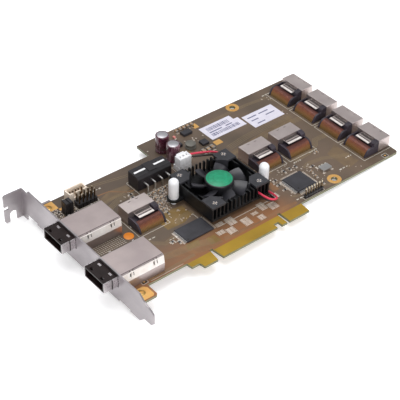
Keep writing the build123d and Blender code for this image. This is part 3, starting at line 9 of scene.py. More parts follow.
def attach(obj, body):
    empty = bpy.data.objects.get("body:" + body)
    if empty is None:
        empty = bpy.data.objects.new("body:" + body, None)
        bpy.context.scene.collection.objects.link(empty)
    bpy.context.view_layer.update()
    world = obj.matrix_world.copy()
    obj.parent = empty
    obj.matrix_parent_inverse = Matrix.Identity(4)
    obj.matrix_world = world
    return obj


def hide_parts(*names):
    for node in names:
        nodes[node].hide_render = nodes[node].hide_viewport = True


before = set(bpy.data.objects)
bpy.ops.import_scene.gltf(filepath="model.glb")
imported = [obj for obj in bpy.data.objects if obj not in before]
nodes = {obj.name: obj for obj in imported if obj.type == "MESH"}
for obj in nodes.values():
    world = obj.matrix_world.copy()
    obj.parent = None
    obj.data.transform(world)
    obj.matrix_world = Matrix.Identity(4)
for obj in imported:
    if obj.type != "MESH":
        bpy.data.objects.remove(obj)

# Storage expander card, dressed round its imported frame. Lengths in this file are in
# millimetres, and each piece turns them into metres as it is made.
MM = 0.001
CARD = "card"
IMPELLER = "impeller"

scene = bpy.context.scene
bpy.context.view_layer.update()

# The photograph's view
VIEW_AZIMUTH = radians(-39.94)
VIEW_ELEVATION = radians(39.20)
VIEW_ROLL = radians(1.28)
VIEW_DISTANCE = 659.15
VIEW_TARGET = (79.74, 36.67, 0)
VIEW_LENS = 106.13

# Fan leads
LEAD_DIAMETER = 1.2
RED_LEAD_ROUTE = [
    (104.4, 21.4, 6.6), (104.4, 14.8, 6.4), (106.8, 7.8, 5.0), (113.0, 8.2, 2.8), (114.3, 15.2, 1.6),
    (113.2, 23.5, 1.2), (113.5, 33.0, 1.3), (114.3, 42.5, 2.4), (114.4, 51.9, 4.6), (110.2, 58.3, 7.0),
    (102.2, 62.4, 8.0), (94.75, 65.2, 8.1),
]
BLACK_LEAD_ROUTE = [
    (104.4, 21.4, 5.2), (104.4, 15.0, 5.0), (106.5, 8.8, 3.6), (112.5, 9.8, 1.5), (112.8, 16.4, 0.9),
    (111.8, 24.2, 0.9), (112.0, 33.0, 0.9), (112.9, 42.3, 1.5), (113.6, 52.2, 3.2), (110.0, 57.6, 5.6),
    (101.9, 61.4, 6.4), (94.75, 64.6, 6.6),
]

# Places and sizes on the card, as in the part's source
BOARD_BOTTOM = -1.57
BOARD_HOLES = ((152.6, 4.2), (152.6, 94.58))
SINK_X, SINK_Y = 91.1, 34.0
SINK_FLOOR = 4.0
PUSH_PINS = ((66.65, 43.95), (115.55, 24.05))
PUSH_PIN_RADIUS = 2.9
PUSH_PIN_TOP = 16.9
FAN_SCREW_X, FAN_SCREW_Y = 15.96, 15.5
FAN_SCREW_TOP = 11.94
HUB_RADIUS = 8.2
HUB_WALL = 0.8
HUB_BOTTOM = 5.4
HUB_TOP = 11.7
BLADE_COUNT = 7
BLADE_TIP = 15.85
CANS = ((91.3, 86.18), (90.9, 75.28))
CAN_RADIUS = 4.1
CAN_HEIGHT = 11.6
INDUCTOR = (106.6, 78.6)
CONTROLLER = (134.15, 14.05)
CONTROLLER_TOP = 1.4
FLASH = (60.6, 18.3)
FLASH_TOP = 1.1
OSCILLATOR = (155.0, 14.4)
POWER_HEADER_TOP = 8.45
FAN_PLUG_TOP = 9.15
INNER_PORTS = (44.5, 130.8, 153.9)
INNER_PORT_MOUTH = 53.3
END_PORTS = (16.0, 38.2, 60.4, 82.6)
END_PORT_MOUTH = 200.2
DRIVE_PORTS = ([(x, INNER_PORT_MOUTH, 0) for x in INNER_PORTS]
               + [(END_PORT_MOUTH, y, -pi / 2) for y in END_PORTS])
REAR_PORTS = (13.1, 50.6)
CAGE_HALF_WIDTH = 9.3
CAGE_END = 28.66
STICKER = (30.1, 36.4)
PAPER = 0.1

# Sizes that only the dressed pieces have
BLADE_ROOT = 7.7
BLADE_HEIGHT = 8.0
BLADE_PITCH = radians(32)
BLADE_SWEEP = 2.4
BLADE_CAMBER = 1.1
ROOT_CHORD = 6.2
TIP_CHORD = 10.2
BLADE_SHEET = 0.5
PORT_HALF_WIDTH = 8.95
PORT_BACK = -9.0
EAR_WIDTH = 1.05
LUG_WIDTH = 3.25
TAIL_COUNT = 18
TAIL_PITCH = 0.87
TAIL_WIDTH = 0.68
TAIL_SHEET = 0.2
TAB_TOP = 6.3
TINY_PITCH = 1.75
TINY_HEIGHT = 0.45
RUNG_PITCH = 0.8
COPPER = 0.02
PRINT = 0.035
UNDER_MASK = 0.008
TRACE_TOP = 0.014
TRACE_WIDTH = 0.34
FINE_LINE = 0.22
BROAD_LINE = 0.26
CORNERS = ((-1, -1), (1, -1), (1, 1), (-1, 1))


def placed(name, data):
    """A new object in the scene for the given data."""
    obj = bpy.data.objects.new(name, data)
    scene.collection.objects.link(obj)
    return obj


# Camera

def photo_camera():
    back = Vector((sin(VIEW_AZIMUTH) * cos(VIEW_ELEVATION), -cos(VIEW_AZIMUTH) * cos(VIEW_ELEVATION),
                   sin(VIEW_ELEVATION)))
    level = Vector((0, 0, 1)).cross(back).normalized()
    rise = back.cross(level)
    right = cos(VIEW_ROLL) * level + sin(VIEW_ROLL) * rise
    up = cos(VIEW_ROLL) * rise - sin(VIEW_ROLL) * level
    data = bpy.data.cameras.new("photo_camera")
    data.lens = VIEW_LENS
    camera = placed("photo_camera", data)
    camera.matrix_world = Matrix((right, up, back)).transposed().to_4x4()
    camera.location = (Vector(VIEW_TARGET) + back * VIEW_DISTANCE) * MM
    scene.camera = camera


# Finishes

def tint(red, green, blue):
    """A colour as the eye reads it, 0 to 255, made linear."""
    return (*[((c / 255 + 0.055) / 1.055) ** 2.4 for c in (red, green, blue)], 1.0)


def add_node(tree, kind, inputs=None, **settings):
    """A shader node with its settings, and with values or links on its inputs."""
    node = tree.nodes.new(kind)
    for key, value in settings.items():
        setattr(node, key, value)
    for socket, value in (inputs or {}).items():
        if isinstance(value, bpy.types.NodeSocket):
            tree.links.new(value, node.inputs[socket])
        else:
            node.inputs[socket].default_value = value
    return node


class Finish:
    """A procedural material whose patterns are in millimetres on Object coordinates."""

    def __init__(self, name, **sockets):
        self.material = bpy.data.materials.new(name)
        self.material.use_nodes = True
        self.tree = self.material.node_tree
        self.shader = self.tree.nodes["Principled BSDF"]
        for socket, value in sockets.items():
            self.shader.inputs[socket.replace("_", " ")].default_value = value
        place = self.node("ShaderNodeTexCoord").outputs["Object"]
        self.place = self.node("ShaderNodeMapping", {"Vector": place, "Scale": (1 / MM,) * 3}).outputs[0]
        self.axes = self.node("ShaderNodeSeparateXYZ", {0: self.place}).outputs

    def node(self, kind, inputs=None, **settings):
        return add_node(self.tree, kind, inputs, **settings)

    def link(self, value, socket):
        self.tree.links.new(value, self.shader.inputs[socket])

    def math(self, operation, *values):
        return self.node("ShaderNodeMath", dict(enumerate(values)), operation=operation).outputs[0]

    def times(self, value, *factors):
        for factor in factors:
            value = self.math("MULTIPLY", value, factor)
        return value

    def above(self, axis, level):
        return self.math("GREATER_THAN", self.axes[axis], level)

    def below(self, axis, level):
        return self.math("LESS_THAN", self.axes[axis], level)

    def fade(self, value, start, end, full=1.0):
        """Rises from 0 at the start to its full share at the end."""
        return self.node("ShaderNodeMapRange", {0: value, 1: start, 2: end, 4: full}).outputs[0]

    def from_fan_axis(self):
        dx = self.math("SUBTRACT", self.axes[0], SINK_X)
        dy = self.math("SUBTRACT", self.axes[1], SINK_Y)
        return self.math("SQRT", self.math("ADD", self.times(dx, dx), self.times(dy, dy)))

    def noise(self, size, detail=2.0, stretch=(1, 1, 1)):
        """Noise with spots of about the given size."""
        scale = [1 / (size * s) for s in stretch]
        place = self.node("ShaderNodeMapping", {"Vector": self.place, "Scale": scale}).outputs[0]
        return self.node("ShaderNodeTexNoise", {"Vector": place, "Scale": 1.0, "Detail": detail}).outputs[0]

    def ramp(self, value, *stops):
        """A colour that goes through (position, colour) stops."""
        ramp = self.node("ShaderNodeValToRGB", {0: value})
        elements = ramp.color_ramp.elements
        elements.remove(elements[1])
        elements[0].position, elements[0].color = stops[0][0], tint(*stops[0][1])
        for position, colour in stops[1:]:
            elements.new(position).color = tint(*colour)
        return ramp.outputs[0]

    def cloudy(self, dark, light, size, detail=3.0, stretch=(1, 1, 1)):
        """Soft patches of two tones."""
        return self.ramp(self.noise(size, detail, stretch), (0.3, dark), (0.7, light))

    def mix(self, factor, first, second):
        return self.node("ShaderNodeMix", {0: factor, 6: first, 7: second}, data_type="RGBA").outputs[2]

    def colour(self, value):
        self.link(value, "Base Color")

    def roughness(self, value, low, high):
        self.link(self.node("ShaderNodeMapRange", {0: value, 3: low, 4: high}).outputs[0], "Roughness")

    def relief(self, height, depth, edge):
        """Fine relief of the given depth, on edges rounded to the given radius."""
        rounded = self.node("ShaderNodeBevel", {"Radius": edge * MM}, samples=4).outputs[0]
        inputs = {"Height": height, "Distance": depth * MM, "Normal": rounded}
        self.link(self.node("ShaderNodeBump", inputs).outputs[0], "Normal")

    def grained(self, grain, rough, depth, edge):
        """Roughness and relief that follow one grain."""
        self.roughness(grain, *rough)
        self.relief(grain, depth, edge)


def moulded(name, dark, light, rough=(0.38, 0.5), grain=0.35, depth=0.01, edge=0.12, **sockets):
    """Moulded plastic or sintered body: faint cloudiness, fine spark texture, soft edges."""
    look = Finish(name, **sockets)
    look.colour(look.cloudy(dark, light, 6.0))
    look.grained(look.noise(grain, 3.0), rough, depth, edge)
    return look


def sheet_metal(name, dark, light, rough=(0.3, 0.42), stretch=(1, 1, 1), edge=0.12):
    """Plated sheet: rolled streaks, cloudy tone and bright rounded edges."""
    look = Finish(name, Metallic=1.0)
    streak = look.noise(0.5, 2.0, stretch)
    tone = look.math("MULTIPLY_ADD", streak, 0.3, look.times(look.noise(14.0, 4.0), 0.7))
    look.colour(look.ramp(tone, (0.35, dark), (0.65, light)))
    look.grained(streak, rough, 0.006, edge)
    return look


def mask_over(name, dark, light, rough=(0.32, 0.46), grain=0.8):
    """Solder mask with the tone of what lies under it."""
    return moulded(name, dark, light, rough, grain, 0.008, 0.02, Coat_Weight=0.25, Coat_Roughness=0.2)


def board_finish():
    """Solder mask over weave and copper on both faces, cut laminate on the sides, gilt on the tongue, and
    painted shade that darkens the board towards the far left.
    """
    look = Finish("board_solder_mask", Coat_Weight=0.12, Coat_Roughness=0.2)
    x, y = look.axes[0], look.axes[1]
    mask = look.ramp(look.noise(30.0, 3.0), (0.3, (84, 71, 58)), (0.5, (99, 83, 69)), (0.72, (114, 94, 77)))
    near, left = look.fade(y, 24.0, 2.0), look.fade(x, 126.0, 112.0)
    warmth = look.times(near, left, look.noise(22.0, 2.0, (2.4, 1, 1)), 1.5)
    mask = look.mix(look.math("MINIMUM", warmth, 1.0), mask, tint(150, 94, 46))
    weave = look.times(*[
        look.node("ShaderNodeTexWave", {"Vector": look.place, "Scale": scale, "Distortion": 0.6},
                  bands_direction=direction).outputs[1] for direction, scale in (("X", 0.62), ("Y", 0.5))])
    mask = look.mix(look.times(weave, 0.1), mask, tint(150, 136, 104))
    # Painted shade: the mask darkens towards low x and high y, where the board catches less light
    shade = look.times(look.fade(x, 110.0, 30.0, 0.45), look.fade(y, 36.0, 70.0))
    mask = look.mix(shade, mask, tint(66, 55, 47))
    gilt = look.mix(look.times(weave, 0.25), look.cloudy((144, 112, 8), (170, 135, 18), 18.0),
                    tint(186, 152, 42))
    face = look.mix(look.times(look.below(1, -0.35), look.above(0, 30.0)), mask, gilt)
    cut = look.cloudy((96, 98, 72), (140, 138, 104), 0.6, stretch=(4, 4, 0.4))
    side = look.times(look.below(2, -0.04), look.above(2, BOARD_BOTTOM + 0.04))
    look.colour(look.mix(side, face, cut))
    fine = look.noise(0.8, 3.0)
    look.roughness(fine, 0.34, 0.48)
    look.relief(look.math("ADD", weave, look.times(fine, 0.4)), 0.012, 0.1)
    return look


def tail_finish():
    """Solder tails that go from reddish brown under the housing to tan at the board."""
    look = Finish("contact_copper", Metallic=0.55)
    height = look.fade(look.axes[2], 0.0, 4.9)
    # Tone by height: reddish brown and darker towards the top, near the housing, with soft blotches
    height_tone = look.math("MULTIPLY_ADD", look.noise(1.6, 3.0), 0.3, look.math("SUBTRACT", height, 0.15))
    look.colour(look.ramp(height_tone, (0.0, (124, 102, 62)), (0.4, (162, 120, 74)), (0.72, (156, 98, 70)),
                          (0.95, (110, 68, 60))))
    look.roughness(look.noise(0.4), 0.3, 0.45)
    look.relief(look.noise(0.3), 0.01, 0.05)
    return look


def header_pin_finish():
    """Square pins, with painted shade darkening the shafts and a painted highlight on the tips."""
    look = Finish("header_pin_gold", Metallic=1.0)
    # Painted light: the dark shaft tone is painted shade, and the pale colour above the tip height, higher for
    # pins left of x = 40, is a painted highlight
    tip_height = look.math("MULTIPLY_ADD", look.below(0, 40.0), 2.4, 5.6)
    shaft = look.cloudy((92, 76, 56), (126, 106, 78), 0.9, stretch=(1, 1, 3))
    look.colour(look.mix(look.above(2, tip_height), shaft, tint(214, 200, 176)))
    look.roughness(look.noise(0.3), 0.26, 0.4)
    look.relief(look.noise(0.25), 0.006, 0.06)
    return look


def cage_finish():
    """Plated cage whose sloping walls above the fold carry a painted highlight: paler and less metallic where
    light falls on them.
    """
    look = Finish("cage_shell")
    # Painted highlight on the walls between z 5.5 and 10.3: near white and less metallic
    side = look.times(look.above(2, 5.5), look.below(2, 10.3))
    rolled = look.ramp(look.noise(14.0, 4.0), (0.35, (178, 165, 164)), (0.65, (190, 177, 175)))
    look.colour(look.mix(side, rolled, look.cloudy((240, 232, 226), (250, 246, 242), 3.0)))
    look.link(look.math("SUBTRACT", 0.9, look.times(side, 0.75)), "Metallic")
    look.grained(look.noise(0.5, 2.0, (20, 20, 1)), (0.36, 0.48), 0.006, 0.12)
    return look


def label_finish(name, dark, light):
    """Coated paper: fibre, faint waviness from the board beneath."""
    look = Finish(name, Coat_Weight=0.15, Coat_Roughness=0.3)
    look.colour(look.cloudy(dark, light, 5.0, 4.0))
    fibre = look.noise(0.25, 4.0, (3, 1, 1))
    look.roughness(fibre, 0.45, 0.6)
    look.relief(look.math("ADD", fibre, look.times(look.noise(7.0), 3.0)), 0.012, 0.05)
    return look


def sleeve_finish():
    """Shrunk sleeve of a capacitor: dark maroon film with paler streaks down it."""
    look = Finish("capacitor_sleeve", Coat_Weight=0.7, Coat_Roughness=0.12)
    film = look.cloudy((62, 22, 40), (92, 36, 56), 4.0, stretch=(1, 1, 3))
    streak = look.times(look.math("GREATER_THAN", look.noise(1.0, 1.0, (1, 1, 9)), 0.6), 0.34)
    look.colour(look.mix(streak, film, tint(214, 180, 190)))
    look.roughness(look.noise(0.8), 0.22, 0.34)
    look.relief(look.noise(1.4, 3.0, (1, 1, 2)), 0.03, 0.1)
    return look


def heatsink_finish():
    """Black anodised extrusion with fine die lines along the fins."""
    look = Finish("black_anodised", Metallic=0.35)
    look.colour(look.cloudy((12, 12, 14), (24, 25, 28), 9.0))
    look.grained(look.noise(0.25, 2.0, (1, 60, 3)), (0.34, 0.5), 0.012, 0.22)
    return look


def blade_finish():
    """Satin moulded blades, a little paler towards the tips."""
    look = Finish("fan_blade_plastic", Coat_Weight=0.2, Coat_Roughness=0.35)
    reach = look.fade(look.from_fan_axis(), HUB_RADIUS, BLADE_TIP)
    cloud = look.math("MULTIPLY_ADD", look.noise(3.0, 2.0), 0.3, look.times(reach, 0.7))
    look.colour(look.ramp(cloud, (0.1, (24, 24, 27)), (0.9, (52, 51, 58))))
    look.grained(look.noise(0.3), (0.3, 0.42), 0.01, 0.1)
    return look


def hub_label_finish():
    """Green label of the fan, bare but for faint printed rings."""
    look = Finish("label_green", Coat_Weight=0.1, Coat_Roughness=0.25)
    radius = look.from_fan_axis()
    rings = look.math("ADD", look.math("COMPARE", radius, 6.3, 0.22), look.math("COMPARE", radius, 3.4, 0.15))
    green = look.cloudy((6, 136, 94), (18, 156, 112), 2.5)
    look.colour(look.mix(look.times(rings, 0.35), green, tint(8, 88, 62)))
    look.roughness(look.noise(0.5), 0.38, 0.5)
    look.relief(look.noise(0.4, 3.0), 0.008, 0.08)
    return look


board_mask = board_finish()
over_copper = mask_over("mask_over_copper", (124, 88, 58), (146, 104, 66))
over_plane = mask_over("mask_over_plane", (104, 86, 66), (122, 100, 72))
thin_laminate = mask_over("thin_laminate", (112, 88, 46), (136, 108, 58), (0.3, 0.42), 1.4)
over_trace = mask_over("mask_over_trace", (121, 103, 75), (134, 114, 84), grain=0.5)
bare_gold = moulded("bare_gold_pad", (216, 160, 86), (230, 184, 112), (0.34, 0.5), grain=1.2, depth=0.006,
                    edge=0.03, Metallic=0.5)
bare_tin = moulded("bare_tin_pad", (204, 190, 174), (230, 218, 206), (0.3, 0.5), grain=0.8, edge=0.03,
                   Metallic=0.4)
white_ink = moulded("white_ink", (196, 192, 178), (222, 216, 204), (0.5, 0.7), grain=0.3, depth=0.006, edge=0.02)
bracket_steel = sheet_metal("bracket_steel", (160, 154, 157), (178, 172, 174), (0.34, 0.46), stretch=(1, 30, 1))
nickel_shell = sheet_metal("nickel_shell", (206, 193, 190), (222, 210, 206), (0.34, 0.46), stretch=(20, 20, 1))
cage_shell = cage_finish()
# Near-white finish for painted highlights on the cages' rolled edges and hooks and on the tabs' lips
highlight_white = moulded("highlight_white", (232, 224, 218), (248, 242, 238), (0.3, 0.42), grain=0.6, depth=0.006,
                      edge=0.05, Metallic=0.25)
bright_shield = sheet_metal("bright_shield", (196, 190, 192), (214, 209, 210), (0.22, 0.34), stretch=(1, 20, 1))
brass = sheet_metal("brass", (176, 140, 82), (200, 164, 100), (0.28, 0.42))
contact_copper = tail_finish()
pin_gold = sheet_metal("pin_gold", (132, 110, 78), (164, 140, 104), (0.24, 0.36), stretch=(1, 1, 20), edge=0.06)
header_pin_gold = header_pin_finish()
tinned = sheet_metal("tinned", (186, 184, 182), (212, 210, 208), (0.24, 0.4), stretch=(1, 1, 12), edge=0.06)
black_moulding = moulded("black_moulding", (27, 24, 27), (38, 34, 38), depth=0.02)
nose_moulding = moulded("port_nose_moulding", (24, 14, 13), (37, 25, 24), (0.26, 0.38), depth=0.02,
                        Specular_IOR_Level=0.3)
port_moulding = moulded("port_moulding", (42, 36, 44), (62, 54, 64), (0.34, 0.48), depth=0.02, edge=0.35)
fan_plastic = moulded("fan_plastic", (40, 40, 44), (53, 53, 58), (0.36, 0.5), depth=0.02, edge=0.2)
fan_blade = blade_finish()
black_anodised = heatsink_finish()
chip_package = moulded("chip_package", (42, 41, 46), (56, 55, 61), (0.42, 0.56), grain=0.2, depth=0.02, edge=0.1)
thermal_compound = moulded("thermal_pad", (150, 148, 146), (176, 172, 168), (0.6, 0.8), grain=0.5, depth=0.04)
label_green = hub_label_finish()
screw_steel = sheet_metal("screw_steel", (120, 120, 126), (170, 170, 176), (0.2, 0.34))
shaft_steel = sheet_metal("shaft_steel", (176, 176, 178), (206, 206, 208), (0.16, 0.28), stretch=(1, 1, 20))
magnet = moulded("magnet", (52, 48, 46), (70, 66, 62), (0.5, 0.7), grain=0.3, depth=0.03)
stator_steel = sheet_metal("stator_steel", (120, 112, 104), (150, 142, 132), (0.4, 0.55), stretch=(8, 8, 0.2))
white_nylon = moulded("white_nylon", (246, 246, 249), (252, 252, 254), (0.3, 0.44), grain=0.5, edge=0.2,
                      Subsurface_Weight=0.12, Subsurface_Radius=(MM,) * 3)
cream_nylon = moulded("cream_nylon", (238, 220, 198), (248, 234, 218), (0.36, 0.5), grain=0.5, edge=0.15)
red_insulation = moulded("red_lead", (214, 48, 78), (236, 74, 100), (0.3, 0.42), grain=0.6, edge=0.05)
black_insulation = moulded("black_lead", (34, 26, 26), (52, 40, 38), (0.3, 0.42), grain=0.6, edge=0.05)
capacitor_sleeve = sleeve_finish()
capacitor_top = sheet_metal("capacitor_top", (206, 204, 208), (226, 224, 228), (0.3, 0.42), stretch=(6, 6, 1))
ceramic = moulded("ceramic", (150, 122, 96), (176, 148, 118), (0.4, 0.6), grain=0.3, edge=0.1)
resistor = moulded("resistor", (36, 32, 32), (56, 50, 48), (0.3, 0.5), grain=0.3, edge=0.08)
latch_shade = moulded("latch_shade", (58, 52, 50), (78, 70, 68), (0.4, 0.6), grain=0.4, edge=0.02)
lamp = moulded("lamp", (214, 120, 118), (236, 160, 150), (0.2, 0.34), grain=0.4, edge=0.1)
label_paper = label_finish("label_paper", (218, 214, 228), (230, 227, 238))
label_ink = label_finish("label_ink", (86, 88, 122), (118, 120, 150))
sticker_orange = label_finish("sticker_orange", (222, 124, 8), (236, 140, 22))
ferrite = moulded("ferrite", (92, 90, 84), (118, 116, 108), (0.46, 0.62), grain=0.4, depth=0.03, edge=0.3)
# Dark finish: painted shade in the shields' slots and the vias' holes; also used for the chips' dimples and the
# gaps in the mask
dark_hole = moulded("open_hole", (26, 22, 18), (38, 32, 26), (0.6, 0.8), grain=0.3)


# Making pieces

def piece(bm, name, finish, body=CARD, stands_for=(), sharp=40):
    """A finished mesh that rides on a body, with its faces outward and smooth up to the sharp angle."""
    bmesh.ops.remove_doubles(bm, verts=bm.verts, dist=0.0001 * MM)
    bmesh.ops.recalc_face_normals(bm, faces=bm.faces)
    for face in bm.faces:
        face.smooth = True
    mesh = bpy.data.meshes.new(name)
    bm.to_mesh(mesh)
    bm.free()
    mesh.set_sharp_from_angle(angle=radians(sharp))
    mesh.materials.append(finish.material)
    obj = placed(name, mesh)
    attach(obj, body)
    if stands_for:
        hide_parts(*stands_for)


def draw_out(bm, faces, x, y, z):
    """Extrude faces that touch along a straight way."""
    raised = bmesh.ops.extrude_face_region(bm, geom=faces)["geom"]
    corners = [v for v in raised if isinstance(v, bmesh.types.BMVert)]
    bmesh.ops.translate(bm, verts=corners, vec=Vector((x, y, z)) * MM)


def plate(bm, corners, low, high):
    """A flat piece with the given outline, between two heights."""
    face = bm.faces.new([bm.verts.new(Vector((x, y, low)) * MM) for x, y in corners])
    draw_out(bm, [face], 0, 0, high - low)


def section(bm, corners, left, right, turn=Matrix()):
    """A solid with the given (y, z) section between two x places, set down by a turn."""
    before = set(bm.verts)
    face = bm.faces.new([bm.verts.new(Vector((left, y, z)) * MM) for y, z in corners])
    draw_out(bm, [face], right - left, 0, 0)
    bmesh.ops.transform(bm, matrix=turn, verts=[v for v in bm.verts if v not in before])


def bar(bm, left, right, near, far, low, high, turn=Matrix()):
    """A plain bar between the given places, set down by a turn."""
    section(bm, [(near, low), (near, high), (far, high), (far, low)], left, right, turn)


def slab(bm, x, y, length, width, low, high):
    """A plate with its centre at (x, y)."""
    plate(bm, [(x + sx * length / 2, y + sy * width / 2) for sx, sy in CORNERS], low, high)


def disc(bm, x, y, radius, low, high, steps=24):
    place = Matrix.Translation(Vector((x, y, low)) * MM)
    made = bmesh.ops.create_circle(bm, cap_ends=True, segments=steps, radius=radius * MM, matrix=place)
    draw_out(bm, [made["verts"][0].link_faces[0]], 0, 0, high - low)


def washer(bm, x, y, inner, outer, low, high, steps):
    turned(bm, x, y, [(inner, low), (outer, low), (outer, high), (inner, high), (inner, low)], steps)


def turned(bm, x, y, profile, steps=64):
    """A form spun about a vertical line from (radius, z) steps."""
    line = [bm.verts.new(Vector((x + radius, y, z)) * MM) for radius, z in profile]
    edges = [bm.edges.new(pair) for pair in zip(line, line[1:])]
    bmesh.ops.spin(bm, geom=line + edges, cent=Vector((x, y, 0)) * MM, axis=(0, 0, 1), angle=2 * pi,
                   steps=steps, use_merge=True)


def set_down(x, y, angle=0.0):
    """The move of a form made at the origin to its place, turned about the vertical."""
    return Matrix.Translation(Vector((x, y, 0)) * MM) @ Matrix.Rotation(angle, 4, "Z")


def neighbours(points, i):
    return points[max(i - 1, 0)], points[min(i + 1, len(points) - 1)]


def track(bm, points, width, low, high):
    """A strip of the given width along a line, mitred at its corners."""
    near, far = [], []
    for i, (x, y) in enumerate(points):
        before, after = neighbours(points, i)
        along = Vector((x - before[0], y - before[1])).normalized()
        along = (along + Vector((after[0] - x, after[1] - y)).normalized()).normalized()
        reach = Vector((-along.y, along.x, 0)) * width / 2
        near.append(bm.verts.new((Vector((x, y, low)) + reach) * MM))
        far.append(bm.verts.new((Vector((x, y, low)) - reach) * MM))
    faces = [bm.faces.new((near[i], far[i], far[i + 1], near[i + 1])) for i in range(len(points) - 1)]
    draw_out(bm, faces, 0, 0, high - low)


def ink_line(bm, points, width):
    track(bm, points, width, 0, PRINT)


# Cords

def fan_lead(name, node, route, finish):
    """A thin insulated lead on a smooth line through the part's own route."""
    curve = bpy.data.curves.new(name, "CURVE")
    curve.dimensions = "3D"
    spline = curve.splines.new("NURBS")
    spline.points.add(len(route) - 1)
    for point, place in zip(spline.points, route):
        point.co = (*[c * MM for c in place], 1.0)
    spline.order_u = 3
    spline.use_endpoint_u = True
    spline.resolution_u = 10
    curve.bevel_depth = LEAD_DIAMETER / 2 * MM
    curve.bevel_resolution = 4
    curve.use_fill_caps = True
    curve.materials.append(finish.material)
    lead = placed(name, curve)
    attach(lead, CARD)
    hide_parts(node)


# The card's own pieces

def dress_cad_nodes():
    """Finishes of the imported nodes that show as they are."""
    for finish, *names in (
        (board_mask, "circuit_board"),
        (bracket_steel, "bracket"),
        (brass, "bracket_rivets"),
        (cage_shell, "rear_port_1_cage", "rear_port_2_cage"),
        (nose_moulding, "rear_port_1_housing", "rear_port_2_housing"),
        (bright_shield, "rear_port_1_shield", "rear_port_2_shield"),
        (pin_gold, "rear_port_contacts"),
        (nickel_shell, *[f"drive_port_{i + 1}_shell" for i in range(len(DRIVE_PORTS))]),
        (black_moulding, "power_header_housing", "pin_header_bases", "jumper_caps"),
        (header_pin_gold, "header_pins"),
        (tinned, "power_header_pins", "chip_leads", "oscillator"),
        (chip_package, "expander_chip", "controller_chip", "flash_chip", "power_chips"),
        (thermal_compound, "thermal_pad"),
        (black_anodised, "heatsink"),
        (fan_plastic, "fan_frame"),
        (stator_steel, "fan_stator"),
        (magnet, "magnet_ring"),
        (shaft_steel, "fan_shaft"),
        (screw_steel, "fan_screws"),
        (white_nylon, "push_pins", "fan_header", "fan_plug"),
        (cream_nylon, "service_header"),
        (lamp, "power_lamp"),
        (label_paper, "product_labels"),
    ):
        for name in names:
            mesh = nodes[name].data
            mesh.materials.clear()
            mesh.materials.append(finish.material)


def fan_impeller():
    """Hub cup with rounded rim and seven thin, cambered, swept blades."""
    bm = bmesh.new()
    bore, roof = HUB_RADIUS - HUB_WALL, HUB_TOP - HUB_WALL
    turned(bm, SINK_X, SINK_Y, [
        (bore, HUB_BOTTOM), (HUB_RADIUS - 0.2, HUB_BOTTOM), (HUB_RADIUS, HUB_BOTTOM + 0.2),
        (HUB_RADIUS, HUB_TOP - 0.5), (HUB_RADIUS - 0.12, HUB_TOP - 0.2), (HUB_RADIUS - 0.4, HUB_TOP),
        (0, HUB_TOP), (0, roof), (bore, roof), (bore, HUB_BOTTOM),
    ], 96)
    for i in range(BLADE_COUNT):
        blade = bmesh.ops.create_grid(bm, x_segments=10, y_segments=8, size=1.0)["verts"]
        for v in blade:
            out, share = (v.co.x + 1) / 2, v.co.y
            chord = ROOT_CHORD + (TIP_CHORD - ROOT_CHORD) * out
            bow = BLADE_CAMBER * (1 - share * share) * chord / TIP_CHORD
            along = share * chord / 2
            v.co = Vector((BLADE_ROOT + out * (BLADE_TIP - BLADE_ROOT),
                           along * cos(BLADE_PITCH) - bow * sin(BLADE_PITCH) - BLADE_SWEEP * out * out,
                           BLADE_HEIGHT + along * sin(BLADE_PITCH) + bow * cos(BLADE_PITCH))) * MM
            past_tip = v.co.to_2d().length / (BLADE_TIP * MM)
            if past_tip > 1:
                v.co.x /= past_tip
                v.co.y /= past_tip
        bmesh.ops.transform(bm, matrix=set_down(SINK_X, SINK_Y, 2 * pi * i / BLADE_COUNT), verts=blade)
        faces = list({face for v in blade for face in v.link_faces})
        bmesh.ops.solidify(bm, geom=faces, thickness=BLADE_SHEET * MM)
    piece(bm, "fan_impeller_wheel", fan_blade, IMPELLER, ("impeller",), 50)


def fan_hub_label():
    bm = bmesh.new()
    turned(bm, SINK_X, SINK_Y, [(0, HUB_TOP), (7.5, HUB_TOP), (7.5, HUB_TOP + 0.06), (7.44, HUB_TOP + PAPER),
                                (0, HUB_TOP + PAPER)], 96)
    piece(bm, "fan_hub_label", label_green, IMPELLER, ("hub_label",))


def fan_screw_drives():
    """Painted glints: bright crosses on the dark heads of the fan's screws, where their cross recesses catch the
    light, and each head's worn rim.
    """
    glint_crosses, rims = bmesh.new(), bmesh.new()
    arm, arm_length, arm_width = 0.95, 1.0, 0.5
    for sx, sy in CORNERS:
        x, y = SINK_X + sx * FAN_SCREW_X, SINK_Y + sy * FAN_SCREW_Y
        for side in (-arm, arm):
            slab(glint_crosses, x + side, y, arm_length, arm_width, FAN_SCREW_TOP, FAN_SCREW_TOP + 0.03)
            slab(glint_crosses, x, y + side, arm_width, arm_length, FAN_SCREW_TOP, FAN_SCREW_TOP + 0.03)
        washer(rims, x, y, 1.5, 1.68, FAN_SCREW_TOP, FAN_SCREW_TOP + 0.02, 32)
    piece(glint_crosses, "fan_screw_crosses", bare_tin)
    piece(rims, "fan_screw_rims", screw_steel)


